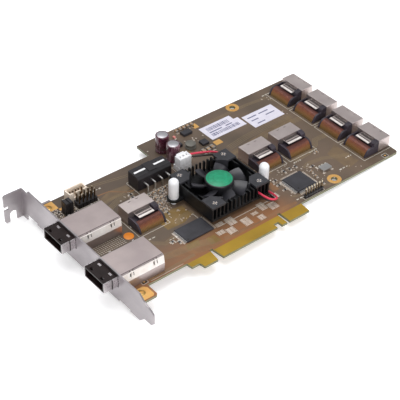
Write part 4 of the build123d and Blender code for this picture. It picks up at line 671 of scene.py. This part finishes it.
def drive_port_bodies():
    """Port housings: the front as in the part, then a low back with rounded ears and one upright lug."""
    # (y, z) outlines, with the port's mouth at y = 0
    ear = [(PORT_BACK, 0), (PORT_BACK, 5.2), (-13.6, 5.2), (-15.8, 5.1), (-17.4, 4.5), (-18.7, 3.2),
           (-19.6, 1.5), (-20.1, 0)]
    lug = [(PORT_BACK, 5.0), (PORT_BACK, 7.8), (-12.0, 7.7), (-12.9, 6.9), (-13.3, 5.0)]
    well = [(PORT_BACK, 0.05), (PORT_BACK, 3.8), (-14.0, 3.8), (-15.2, 2.6), (-15.8, 0.05)]
    inner = PORT_HALF_WIDTH - EAR_WIDTH
    for i, port in enumerate(DRIVE_PORTS, 1):
        turn = set_down(*port)
        bm = bmesh.new()
        bm.from_mesh(nodes[f"drive_port_{i}_housing"].data)
        bmesh.ops.remove_doubles(bm, verts=bm.verts, dist=0.001 * MM)
        bmesh.ops.bisect_plane(bm, geom=bm.verts[:] + bm.edges[:] + bm.faces[:], clear_inner=True,
                               plane_co=turn @ Vector((0, PORT_BACK * MM, 0)),
                               plane_no=turn.to_3x3() @ Vector((0, 1, 0)))
        bmesh.ops.triangle_fill(bm, edges=[edge for edge in bm.edges if edge.is_boundary], use_beauty=True)
        section(bm, ear, -PORT_HALF_WIDTH, -inner, turn)
        section(bm, ear, inner, PORT_HALF_WIDTH, turn)
        section(bm, lug, PORT_HALF_WIDTH - LUG_WIDTH, PORT_HALF_WIDTH, turn)
        section(bm, well, -inner, inner, turn)
        piece(bm, f"drive_port_{i}_body", port_moulding,
              stands_for=(f"drive_port_{i}_housing",))


def drive_port_tails():
    """Bent solder tails side by side behind each port."""
    outer = [(-19.7, 0.0), (-19.15, 1.9), (-18.2, 3.5), (-17.1, 4.6), (-15.9, 5.0), (-14.5, 5.0)]
    strip = outer + [(y + TAIL_SHEET, z - TAIL_SHEET if z else 0) for y, z in reversed(outer)]
    bm = bmesh.new()
    for port in DRIVE_PORTS:
        for k in range(TAIL_COUNT):
            middle = (k - (TAIL_COUNT - 1) / 2) * TAIL_PITCH
            section(bm, strip, middle - TAIL_WIDTH / 2, middle + TAIL_WIDTH / 2, set_down(*port))
    piece(bm, "drive_port_tails", contact_copper, stands_for=("drive_port_contacts",))


def latch_window_shade():
    """Painted shade for a recess and a row of small slots, and a pale lip with a painted highlight, on the tab
    behind each drive port.
    """
    bm, lips = bmesh.new(), bmesh.new()
    for port in DRIVE_PORTS:
        turn = set_down(*port)
        bar(bm, -4.9, 4.9, -11.0, -9.2, TAB_TOP, TAB_TOP + 0.03, turn)
        for k in range(10):
            left = -4.5 + k * 0.9
            bar(bm, left, left + 0.6, -12.7, -12.0, TAB_TOP, TAB_TOP + 0.03, turn)
        bar(lips, -5.1, 5.1, -14.35, -12.9, TAB_TOP, TAB_TOP + 0.04, turn)
    piece(bm, "latch_window_shade", latch_shade)
    piece(lips, "latch_lips", highlight_white)


def cage_ridges():
    """Rolled edge and dark seam along each side of the cages, and the two hooks that hold the top; the edge and
    the hooks are white, a painted highlight.
    """
    bm, seams, hooks = bmesh.new(), bmesh.new(), bmesh.new()
    ridge, ridge_height, seam_height = 0.36, 9.9, 10.9
    near, far = 1.2, CAGE_END - 0.4
    rim = [(ridge * cos(pi * k / 6), ridge_height + ridge * sin(pi * k / 6)) for k in range(12)]
    hook = ((-0.5, 10.4), (0.55, 10.4), (0.75, 8.1), (0.35, 8.1))
    for centre in REAR_PORTS:
        for side in (-1, 1):
            middle = centre + side * (CAGE_HALF_WIDTH + 0.02)
            section(bm, [(middle + y, z) for y, z in rim], near, far)
            seam = centre + side * (CAGE_HALF_WIDTH - 0.62)
            bar(seams, near, far, seam, seam + 0.34, seam_height, seam_height + 0.02)
            for x in (8.16, 23.06):
                section(hooks, [(middle + side * y, z) for y, z in hook], x - 0.5, x + 0.5)
    piece(bm, "cage_ridges", highlight_white)
    piece(seams, "cage_seams", latch_shade)
    piece(hooks, "cage_hooks", highlight_white)


def shield_slot_shade():
    """Dark strip of painted shade for the slot down each side of the external ports' shields."""
    bm = bmesh.new()
    for centre in REAR_PORTS:
        for side in (-8.7, 8.7):
            slab(bm, -3.65, centre + side, 0.7, 0.08, 4.2, 10.2)
    piece(bm, "shield_slot_shade", dark_hole)


def push_pin_heads():
    """Smooth domed heads over the nylon pins."""
    bm = bmesh.new()
    radius = PUSH_PIN_RADIUS
    foot = [(0, SINK_FLOOR), (radius - 0.2, SINK_FLOOR), (radius, SINK_FLOOR + 0.3)]
    crown = [(radius * cos(a), PUSH_PIN_TOP + radius * (sin(a) - 1)) for a in map(radians, range(0, 90, 9))]
    for x, y in PUSH_PINS:
        turned(bm, x, y, foot + crown + [(0, PUSH_PIN_TOP)])
    piece(bm, "push_pin_heads", white_nylon)


def capacitor_cans():
    """Sleeved cans with a rolled groove, and the bare scored tops."""
    sleeves, tops = bmesh.new(), bmesh.new()
    radius, top, well = CAN_RADIUS, CAN_HEIGHT, CAN_HEIGHT - 0.25
    for x, y in CANS:
        turned(sleeves, x, y, [
            (0, 0), (radius - 0.2, 0), (radius, 0.25), (radius, 1.5), (radius - 0.2, 1.8),
            (radius - 0.34, 2.1), (radius - 0.2, 2.4), (radius, 2.7), (radius, top - 0.5),
            (radius - 0.12, top - 0.18), (radius - 0.4, top), (3.4, top), (3.3, well), (0, well),
        ], 72)
        turned(tops, x, y, [(0, well), (3.3, well), (3.3, top - 0.1), (3.1, top - 0.02), (0, top - 0.02)], 72)
        for side in (-1.75, 1.75):
            disc(tops, x + side, y, 0.3, BOARD_BOTTOM - 1.4, 0, 10)
    piece(sleeves, "capacitor_sleeves", capacitor_sleeve,
          stands_for=("electrolytic_capacitors",))
    piece(tops, "capacitor_tops_and_leads", capacitor_top)


def wound_inductor():
    """Drum core with its flanges and a band of windings between them."""
    bm = bmesh.new()
    turned(bm, *INDUCTOR, [(0, 0), (3.1, 0), (3.3, 0.15), (3.3, 0.7), (2.9, 0.85), (2.85, 2.1), (3.2, 2.3),
                           (3.2, 2.8), (2.9, 3), (0, 3)], 48)
    piece(bm, "drum_inductor", ferrite, stands_for=("inductor",))


def orange_sticker():
    bm = bmesh.new()
    turned(bm, *STICKER, [(0, 0), (2.9, 0), (2.9, 0.07), (2.84, PAPER), (0, PAPER)], 48)
    piece(bm, "orange_sticker", sticker_orange, stands_for=("round_sticker",))


# Small parts as (x, y, length along X, length along Y, height), as in the part's source
CERAMIC_PARTS = (
    *[(109 + 2.9 * k, 95.58, 1.6, 3.2, 1.6) for k in range(5)], (99.0, 90.18, 1.4, 2.2, 1.1),
    (109.3, 69.4, 2, 3.4, 1.8), (112.7, 69.2, 2, 3.4, 1.8), (116.1, 69.6, 2, 3.4, 1.8),
    (62.8, 57, 1.4, 2.2, 1.2), (66.2, 56.6, 1.4, 2.2, 1.2), (70.6, 57.2, 2.2, 1.4, 1.2),
    (61, 52.6, 1.3, 2, 1.1), (63.8, 51.2, 1.3, 2, 1.1), (60.2, 46.8, 2, 1.3, 1.1),
    (58.8, 42.2, 1.3, 2, 1.1), (161.7, 28.9, 2, 1.2, 0.9), (146.6, 16.8, 1.2, 2, 0.9),
    (145.8, 12.2, 1.2, 2, 0.9),
)
RESISTOR_PARTS = [(*place, 0.5) for place in (
    (51.9, 64.3, 2, 1.2), (51.3, 61.6, 2, 1.2), (12.3, 67.6, 1.2, 2),
    (14.8, 67.6, 1.2, 2), (17.6, 67.6, 1.2, 2), (66.4, 50.2, 1, 1.8),
    (64.4, 46.6, 1, 1.8), (58.6, 38.6, 1, 1.8), (45.6, 18.2, 2, 1.2),
    (48.6, 15.6, 1.2, 2), (124.3, 23.6, 2, 1.1), (123.4, 19.4, 2, 1.1),
    (123.4, 14.2, 2, 1.1), (134.4, 26.8, 1.1, 2), (138.6, 26.6, 1.1, 2),
    (142.8, 26.4, 1.1, 2), (145, 5.6, 1.1, 2), (150.6, 20.6, 2, 1.1),
)]


def tiny_parts():
    """Places and sizes of the smallest parts, between the larger ones by the heatsink and the headers."""
    rng = random.Random(7)
    near = [part[:2] for part in (*CERAMIC_PARTS, *RESISTOR_PARTS)]
    pin_x, pin_y = PUSH_PINS[0]
    parts = []
    for x0, x1, y0, y1 in ((56.6, 69.6, 40.0, 59.4), (6.0, 21.0, 62.0, 69.6), (8.0, 12.6, 70.2, 78.0),
                           (18.0, 21.4, 70.2, 76.6)):
        x = x0
        while x < x1:
            y = y0 + rng.uniform(0, 0.8)
            while y < y1:
                clear = min(hypot(x - px, y - py) for px, py in near) > 1.9
                if clear and hypot(x - pin_x, y - pin_y) > 4.6 and rng.random() < 0.72:
                    long, short = rng.choice(((1.1, 0.6), (1.4, 0.8)))
                    parts.append((x, y, *rng.choice(((long, short), (short, long))), TINY_HEIGHT))
                y += TINY_PITCH
            x += TINY_PITCH
    return parts


def small_chip_parts():
    """Capacitors and resistors with tinned ends, on their solder pads."""
    tiny = tiny_parts()
    ends, pads = bmesh.new(), bmesh.new()
    gap, solder = 0.06, 0.35
    for name, finish, slot, stands_for, parts in (
        ("ceramic_bodies", ceramic, "ceramic", ("ceramic_capacitors",), CERAMIC_PARTS),
        ("resistor_bodies", resistor, "resistor", ("resistors",), RESISTOR_PARTS),
        ("tiny_ceramic_bodies", ceramic, "ceramic", (), tiny[::2]),
        ("tiny_resistor_bodies", resistor, "resistor", (), tiny[1::2]),
    ):
        bodies = bmesh.new()
        for x, y, length, width, height in parts:
            dx, dy = (0, 1) if width > length else (1, 0)
            cap = 0.22 * max(length, width)
            slab(bodies, x, y, length - (gap if dy else 2 * cap), width - (2 * cap if dy else gap),
                 0.03, height - 0.04)
            for side in (-1, 1):
                end = side * (max(length, width) - cap) / 2
                slab(ends, x + dx * end, y + dy * end, length if dy else cap, cap if dy else width, 0, height)
                end += side * solder
                slab(pads, x + dx * end, y + dy * end, length + 0.2 if dy else cap + 0.6,
                     cap + 0.6 if dy else width + 0.2, 0, COPPER)
        piece(bodies, name, finish, stands_for=stands_for)
    piece(ends, "chip_part_ends", tinned)
    piece(pads, "chip_part_pads", bare_tin)


def power_header_pale_blocks():
    """Pale blocks in the two recesses on top of the power header."""
    bm = bmesh.new()
    top = POWER_HEADER_TOP + 0.53
    for x in (62.2, 75.6):
        slab(bm, x, 69.35, 7.8, 1.4, POWER_HEADER_TOP, top)
    rim = [edge for edge in bm.edges if min(v.co.z for v in edge.verts) > (top - 0.08) * MM]
    bmesh.ops.bevel(bm, geom=rim, offset=0.08 * MM, segments=2, profile=0.5, affect="EDGES", material=-1)
    piece(bm, "power_header_pale_blocks", white_nylon)


def fan_plug_ribs():
    """Moulded ribs down the plug's near side and the raised lugs on its top."""
    bm = bmesh.new()
    for i in range(4):
        slab(bm, 86.5 + i * 2.5, 62.72, 0.7, 0.18, 3.1, 8.9)
    for x in (87.0, 93.6):
        slab(bm, x, 65.2, 1.2, 3.6, FAN_PLUG_TOP, FAN_PLUG_TOP + 0.05)
    piece(bm, "fan_plug_ribs", white_nylon)


def chip_markers():
    """Dimple that marks the first lead of each chip."""
    bm = bmesh.new()
    for (x, y), dx, dy, radius, top in ((CONTROLLER, -4.75, -4.75, 0.55, CONTROLLER_TOP),
                                        (FLASH, -7.7, -4.5, 0.5, FLASH_TOP)):
        disc(bm, x + dx, y + dy, radius, top - 0.015, top + 0.01, 20)
    piece(bm, "chip_markers", dark_hole)


def label_stripes():
    """Plain stripes where the labels are printed."""
    rng = random.Random(4)
    bm = bmesh.new()
    ink = PAPER + 0.02
    for x0, x1, y0, y1 in ((125.0, 141.5, 84.0, 87.2), (124.4, 145.6, 78.2, 81.0)):
        x = x0
        while x < x1:
            wide = rng.choice((0.3, 0.45, 0.7))
            slab(bm, x, (y0 + y1) / 2, wide, y1 - y0, PAPER, ink)
            x += wide + rng.choice((0.3, 0.4, 0.6))
    for x0, x1, y in ((152.0, 159.0, 79.6), (161.0, 168.5, 79.6), (152.5, 158.0, 76.2), (164.0, 171.0, 76.2),
                      (154.0, 160.0, 72.2), (124.5, 134.0, 82.4), (137.0, 142.0, 82.4)):
        slab(bm, (x0 + x1) / 2, y, x1 - x0, 0.9, PAPER, ink)
    piece(bm, "label_stripes", label_ink)


# What is etched and printed on the board

def bare_footprints():
    """Blocks of tinned pads along the tongue for parts that aren't fitted, each between two printed lines."""
    pads, ink = bmesh.new(), bmesh.new()
    for x, y, length, width in (
        (74.8, 13.8, 4.2, 3.2), (81.4, 12.2, 4.2, 6.4), (71.1, 8.1, 4, 3.8), (76.8, 6, 4.4, 5.6),
        (88.2, 6.6, 4.4, 6.4), (96.1, 9.1, 3.2, 2.8), (97.2, 4.3, 3.2, 4), (103.3, 11.2, 3.4, 6.4),
        (108.8, 8, 4.6, 6), (115, 13.8, 4.2, 4.4),
    ):
        rungs = int(width / RUNG_PITCH)
        for side in (-1, 1):
            for i in range(rungs):
                slab(pads, x + side * length / 4, y + (i - (rungs - 1) / 2) * RUNG_PITCH, length / 2 - 0.2,
                     0.6, 0, COPPER)
            edge = x + side * (length / 2 + 0.25)
            ink_line(ink, ((edge, y - width / 2), (edge, y + width / 2)), FINE_LINE)
    piece(pads, "bare_footprint_pads", bare_tin)
    piece(ink, "bare_footprint_frames", white_ink)


def gold_pads():
    """Gold round the card's holes, under the bracket's feet and at spare pads, and dark gaps in the mask."""
    gold, windows = bmesh.new(), bmesh.new()
    for x, y in BOARD_HOLES:
        washer(gold, x, y, 1.85, 4.2, 0, COPPER, 56)
        washer(windows, x, y, 1.76, 1.87, 0, COPPER + 0.006, 56)
    plate(gold, [(1.9, -8.3), (12.9, -8.3), (14.0, -7.2), (14.0, -1.4), (12.2, 0.4), (7.0, 0.4), (1.9, 0.4)],
          0, COPPER)
    for x, y, length, width in ((7.8, 82.8, 11.6, 7.4), (122.6, 72.4, 5.2, 4.0), (122.0, 93.6, 3.4, 4.6),
                                (14.2, 77.7, 2.0, 1.8)):
        slab(gold, x, y, length, width, 0, COPPER)
    for x, y in ((15.0, 2.8), (191.9, 1.95)):
        disc(gold, x, y, 0.65, 0.012, PRINT)
        slab(windows, x, y, 2.8, 2.6, 0, 0.012)
    piece(gold, "gold_pads", bare_gold)
    piece(windows, "mask_windows", dark_hole)


def copper_areas():
    """Wide areas that show through the mask: copper, laminate without copper, and an inner plane."""
    for name, finish, high, outlines in (
        ("copper_under_mask", over_copper, UNDER_MASK, (
            [(35.4, 11.6), (41, 6.4), (55, 1.4), (68, 1.4), (66, 7), (55, 11), (46, 12.6)],
            [(68.6, 1.2), (121, 1.2), (121, 3), (110, 4), (92, 2.4), (84.6, 3.6), (69.4, 4.4)],
            [(117.6, 16.6), (121.6, 16.6), (121.6, 30.6), (119.4, 33.4), (117.6, 33.4)],
        )),
        ("thin_laminate_areas", thin_laminate, UNDER_MASK + 0.002, (
            [(50, 27.4), (61, 26.8), (68.6, 30), (68.6, 39), (58, 40.6), (49.6, 34)],
            [(48, 8), (56, 6.8), (58, 11.4), (50, 12)],
            [(61, 3.4), (67.6, 3.2), (67, 9), (61.6, 9.4)],
        )),
        ("plane_under_mask", over_plane, UNDER_MASK, (
            [(32.6, 70), (44, 74.2), (55.2, 73), (55.2, 69), (46.2, 66.8), (32.6, 66.8)],
            [(96, 71), (104, 71), (104, 76), (98, 82), (96, 82)],
            [(120.6, 60), (147, 63.4), (174, 66.6), (174, 60), (120.6, 56.6)],
            [(166, 6), (176, 8), (176, 28), (166, 24)],
        )),
    ):
        bm = bmesh.new()
        for corners in outlines:
            plate(bm, corners, 0, high)
        if finish is over_copper:
            track(bm, ((30.0, 72.6), (34.0, 75.0), (44.0, 74.0), (52.0, 67.2), (56.4, 66.2)), 0.8, 0, 0.016)
        piece(bm, name, finish)


def lane(points, count, pitch):
    """Lines side by side along a guide line."""
    lines = [[] for _ in range(count)]
    for i, (x, y) in enumerate(points):
        before, after = neighbours(points, i)
        along = Vector((after[0] - before[0], after[1] - before[1])).normalized()
        for k, line in enumerate(lines):
            shift = (k - (count - 1) / 2) * pitch
            line.append((x - along.y * shift, y + along.x * shift))
    return lines


def etched_traces():
    """Traces that show through the mask, in the lanes that join the ports to the chip."""
    bm = bmesh.new()
    arc = [(40.6 + 11.0 * cos(radians(a)), 22.0 + 11.6 * sin(radians(a))) for a in range(180, 271, 15)]
    for points, count, pitch in (
        ([(29.6, 27.0)] + arc + [(56.0, 8.2), (64.0, 5.6)], 6, 0.85),
        ([(33.6, 31.4), (36.4, 24.4), (42, 19.4), (49, 20.8)], 4, 0.8),
        ([(56.6, 28.8), (61.8, 31.4), (66.4, 31.8), (70.4, 31.6)], 5, 0.7),
        ([(53.6, 44.6), (58.4, 42.6), (63, 38.6), (70.2, 37.6)], 4, 0.8),
        ([(30.2, 55.2), (36, 61.6), (44, 64.6), (54.6, 64.8)], 5, 0.8),
        ([(33.4, 66.6), (44.6, 68), (55.4, 66.6)], 3, 0.8),
        ([(118.2, 36.4), (122.8, 33.2), (128.4, 32.2)], 6, 0.7),
        ([(176.4, 16), (168.6, 18.6), (160.6, 22.8), (150, 24), (146, 22)], 4, 0.8),
        ([(178.6, 38.2), (170, 38.6), (166.4, 35), (158, 31.8), (146, 31)], 5, 0.8),
        ([(178.6, 60.4), (168, 61), (150, 58.8), (132, 57), (118, 56)], 5, 0.9),
        ([(178.6, 84), (176, 90), (160.4, 91.6), (128, 91.2)], 3, 0.9),
        ([(176, 66), (160, 67), (138, 66), (124, 64)], 4, 1.2),
        ([(36.6, 84.6), (60, 79.6), (78, 78.6)], 2, 1.4),
        ([(48.8, 3), (44, 3), (30, 2.2), (18, 2.2)], 3, 0.7),
        ([(148, 2), (140, 5.4), (126, 5.6), (122, 7.6)], 2, 0.8),
    ):
        for line in lane(points, count, pitch):
            track(bm, line, TRACE_WIDTH, 0, TRACE_TOP)
    piece(bm, "etched_traces", over_trace)


def vias():
    """Tinned vias: rows beside the chips and a scatter round the regulators and the heatsink."""
    rng = random.Random(11)
    tin, holes = bmesh.new(), bmesh.new()
    for x0, x1, y0, y1, count in (
        (55.6, 66, 41, 59, 46), (60.4, 68.4, 28.4, 38, 12), (52, 60, 29, 36, 8),
        (121.4, 126.8, 8, 30.6, 16), (127, 143, 24, 31, 18), (143.6, 151, 8, 24, 14),
        (96, 106, 69.6, 76, 8), (104, 120.6, 80.4, 86, 12), (7.4, 34, 63.4, 70, 26),
        (44, 52.6, 58.6, 66.8, 10), (170, 178, 68, 92, 12), (150, 176, 3, 9, 6),
        (121, 126, 34, 52, 10), (30.6, 33.6, 14, 30, 6),
    ):
        for _ in range(count):
            x, y, radius = rng.uniform(x0, x1), rng.uniform(y0, y1), rng.choice((0.3, 0.38, 0.5))
            disc(tin, x, y, radius, 0, COPPER + 0.004, 10)
            # The dark discs are painted shade in the vias' holes
            disc(holes, x, y, radius * 0.45, COPPER + 0.002, COPPER + 0.008, 8)
    piece(tin, "via_rings", bare_tin)
    piece(holes, "via_holes", dark_hole)


def lead_pads():
    """Tinned pads that the chips' leads and the ports' feet stand on."""
    bm = bmesh.new()

    def pad(centre, dx, dy, length, width):
        slab(bm, centre[0] + dx, centre[1] + dy, length, width, 0, COPPER)

    for i in range(16):
        along = (i - 7.5) * 0.8
        for side in (-8.35, 8.35):
            pad(CONTROLLER, along, side, 0.5, 1.5)
            pad(CONTROLLER, side, along, 1.5, 0.5)
    for i in range(20):
        for side in (-10.5, 10.5):
            pad(FLASH, side, (i - 9.5) * 0.56, 1.4, 0.36)
    for sx, sy in CORNERS:
        pad(OSCILLATOR, sx * 3.036, sy * 2.666, 1.8, 1.2)
    for x, y, angle in DRIVE_PORTS:
        pad((x, y), *((-18.9, 0, 1.4, 15.2) if angle else (0, -18.9, 15.2, 1.4)))
    piece(bm, "lead_pads", bare_tin)


def printed_lines():
    """White outlines of the ports, the heatsink and the headers, a ruled grid, and short plain ticks."""
    bm = bmesh.new()
    for *middle, angle in DRIVE_PORTS:
        turn = Matrix.Rotation(angle, 2)
        start = -0.4 if angle else 0
        left, right = ([Vector(middle) + turn @ Vector((side, reach)) for reach in (start, -21.6)]
                       for side in (-10.3, 10.3))
        for line in (left, right, (left[1], right[1])):
            ink_line(bm, line, BROAD_LINE)
    ink_line(bm, ((73.6, 12.6), (113.0, 12.6)), BROAD_LINE)
    ink_line(bm, ((69.0, 16.0), (69.0, 30.0)), BROAD_LINE)
    ink_line(bm, ((18.4, 1.0), (39.4, 1.0)), FINE_LINE)
    for x0, x1, y0, y1 in (
        (56.2, 81.6, 59, 74), (85.2, 95.4, 61.8, 69.4), (19.2, 32.9, 76.6, 84),
        (21.4, 35.4, 70.9, 77), (126.4, 141.6, 0.5, 3.4), (13.2, 16.8, 1.1, 4.5), (190.1, 193.7, 0.4, 3.5),
    ):
        box = ((x0, y0), (x1, y0), (x1, y1), (x0, y1))
        for k in range(4):
            ink_line(bm, (box[k - 1], box[k]), 0.24)
    for i in range(6):
        for k in range(13):
            slab(bm, 8.4 + k * 1.45, 33.2 + i * 1.3, 0.95, 0.24, 0, PRINT)
    rng = random.Random(23)
    for x0, x1, y, count in (
        (144, 150, 29.4, 4), (158, 165, 31.4, 4), (150.6, 160, 18.4, 4), (171.4, 177, 14.6, 3),
        (175, 184, 92.6, 4), (44, 50, 17, 3), (45, 51, 20.2, 3), (34.2, 42.6, 79.6, 4),
        (34.6, 40.8, 41.8, 3), (118, 123.6, 25.8, 3), (97.6, 106, 90.2, 3), (9, 24, 42, 6),
        (82.8, 85, 90.6, 1), (83.4, 85.8, 80, 1), (122, 127.4, 3.4, 2), (66, 72, 24.6, 2),
        (33.6, 41.2, 27.2, 3), (98, 104, 88, 2), (160.6, 168, 8.4, 3),
    ):
        for i in range(count):
            x = x0 + (x1 - x0) * (i + 0.5) / count
            slab(bm, x, y, (x1 - x0) / count * rng.uniform(0.4, 0.75), rng.choice((0.5, 0.7, 0.9)), 0, PRINT)
    piece(bm, "printed_lines", white_ink)


# Stage

def studio():
    """A pale floor that the card's bracket and far end stand on, and soft light all round."""
    slope = radians(2.13)
    bm = bmesh.new()
    bmesh.ops.create_grid(bm, x_segments=1, y_segments=1, size=3000 * MM)
    lowest = Vector((0.86, 0, -9.05)) * MM
    tilt = Matrix.Translation(lowest) @ Matrix.Rotation(-slope, 4, "Y")
    bmesh.ops.transform(bm, matrix=tilt, verts=bm.verts)
    mesh = bpy.data.meshes.new("studio_floor")
    bm.to_mesh(mesh)
    bm.free()
    ground = Finish("studio_floor", Roughness=0.8, Specular_IOR_Level=0.1, Emission_Color=(1, 1, 1, 1))
    ground.colour(ground.cloudy((246, 246, 246), (248, 248, 248), 60.0, 2.0))
    path = ground.node("ShaderNodeLightPath").outputs
    seen = ground.math("MAXIMUM", path["Is Camera Ray"], path["Is Glossy Ray"])
    ground.link(ground.times(seen, 0.4), "Emission Strength")
    mesh.materials.append(ground.material)
    floor = placed("studio_floor", mesh)

    world = bpy.data.worlds.new("studio_world")
    scene.world = world
    world.use_nodes = True
    tree = world.node_tree
    tree.nodes.clear()
    path = add_node(tree, "ShaderNodeLightPath").outputs
    seen = add_node(tree, "ShaderNodeMath", {0: path["Is Camera Ray"], 1: path["Is Transmission Ray"]},
                    operation="MAXIMUM").outputs[0]
    soft = {"Color": (0.96, 0.97, 1.0, 1.0), "Strength": 0.4}
    white = {"Color": (1, 1, 1, 1), "Strength": 1.0}
    soft, white = (add_node(tree, "ShaderNodeBackground", sockets).outputs[0] for sockets in (soft, white))
    either = add_node(tree, "ShaderNodeMixShader", {0: seen, 1: soft, 2: white}).outputs[0]
    add_node(tree, "ShaderNodeOutputWorld", {0: either})

    # Each lamp's place and size in metres, and its power
    for name, place, size, power in (
        ("softbox_above", (0.05, 0.25, 0.95), 0.9, 6.2),
        ("softbox_near", (-0.25, -0.95, 0.42), 0.6, 5.6),
        ("softbox_right", (0.9, -0.25, 0.6), 0.6, 1.2),
    ):
        data = bpy.data.lights.new(name, "AREA")
        data.shape, data.size, data.energy = "DISK", size, power
        light = placed(name, data)
        light.location = place
        light.rotation_mode = "QUATERNION"
        light.rotation_quaternion = (Vector(VIEW_TARGET) * MM - light.location).to_track_quat("-Z", "Y")
    scene.view_settings.view_transform = "Standard"


photo_camera()
fan_lead("fan_lead_red_wire", "fan_lead_red", RED_LEAD_ROUTE, red_insulation)
fan_lead("fan_lead_black_wire", "fan_lead_black", BLACK_LEAD_ROUTE, black_insulation)
dress_cad_nodes()
fan_impeller()
fan_hub_label()
fan_screw_drives()
drive_port_bodies()
drive_port_tails()
latch_window_shade()
cage_ridges()
shield_slot_shade()
push_pin_heads()
capacitor_cans()
wound_inductor()
orange_sticker()
small_chip_parts()
power_header_pale_blocks()
fan_plug_ribs()
chip_markers()
label_stripes()
bare_footprints()
gold_pads()
copper_areas()
etched_traces()
vias()
lead_pads()
printed_lines()
studio()
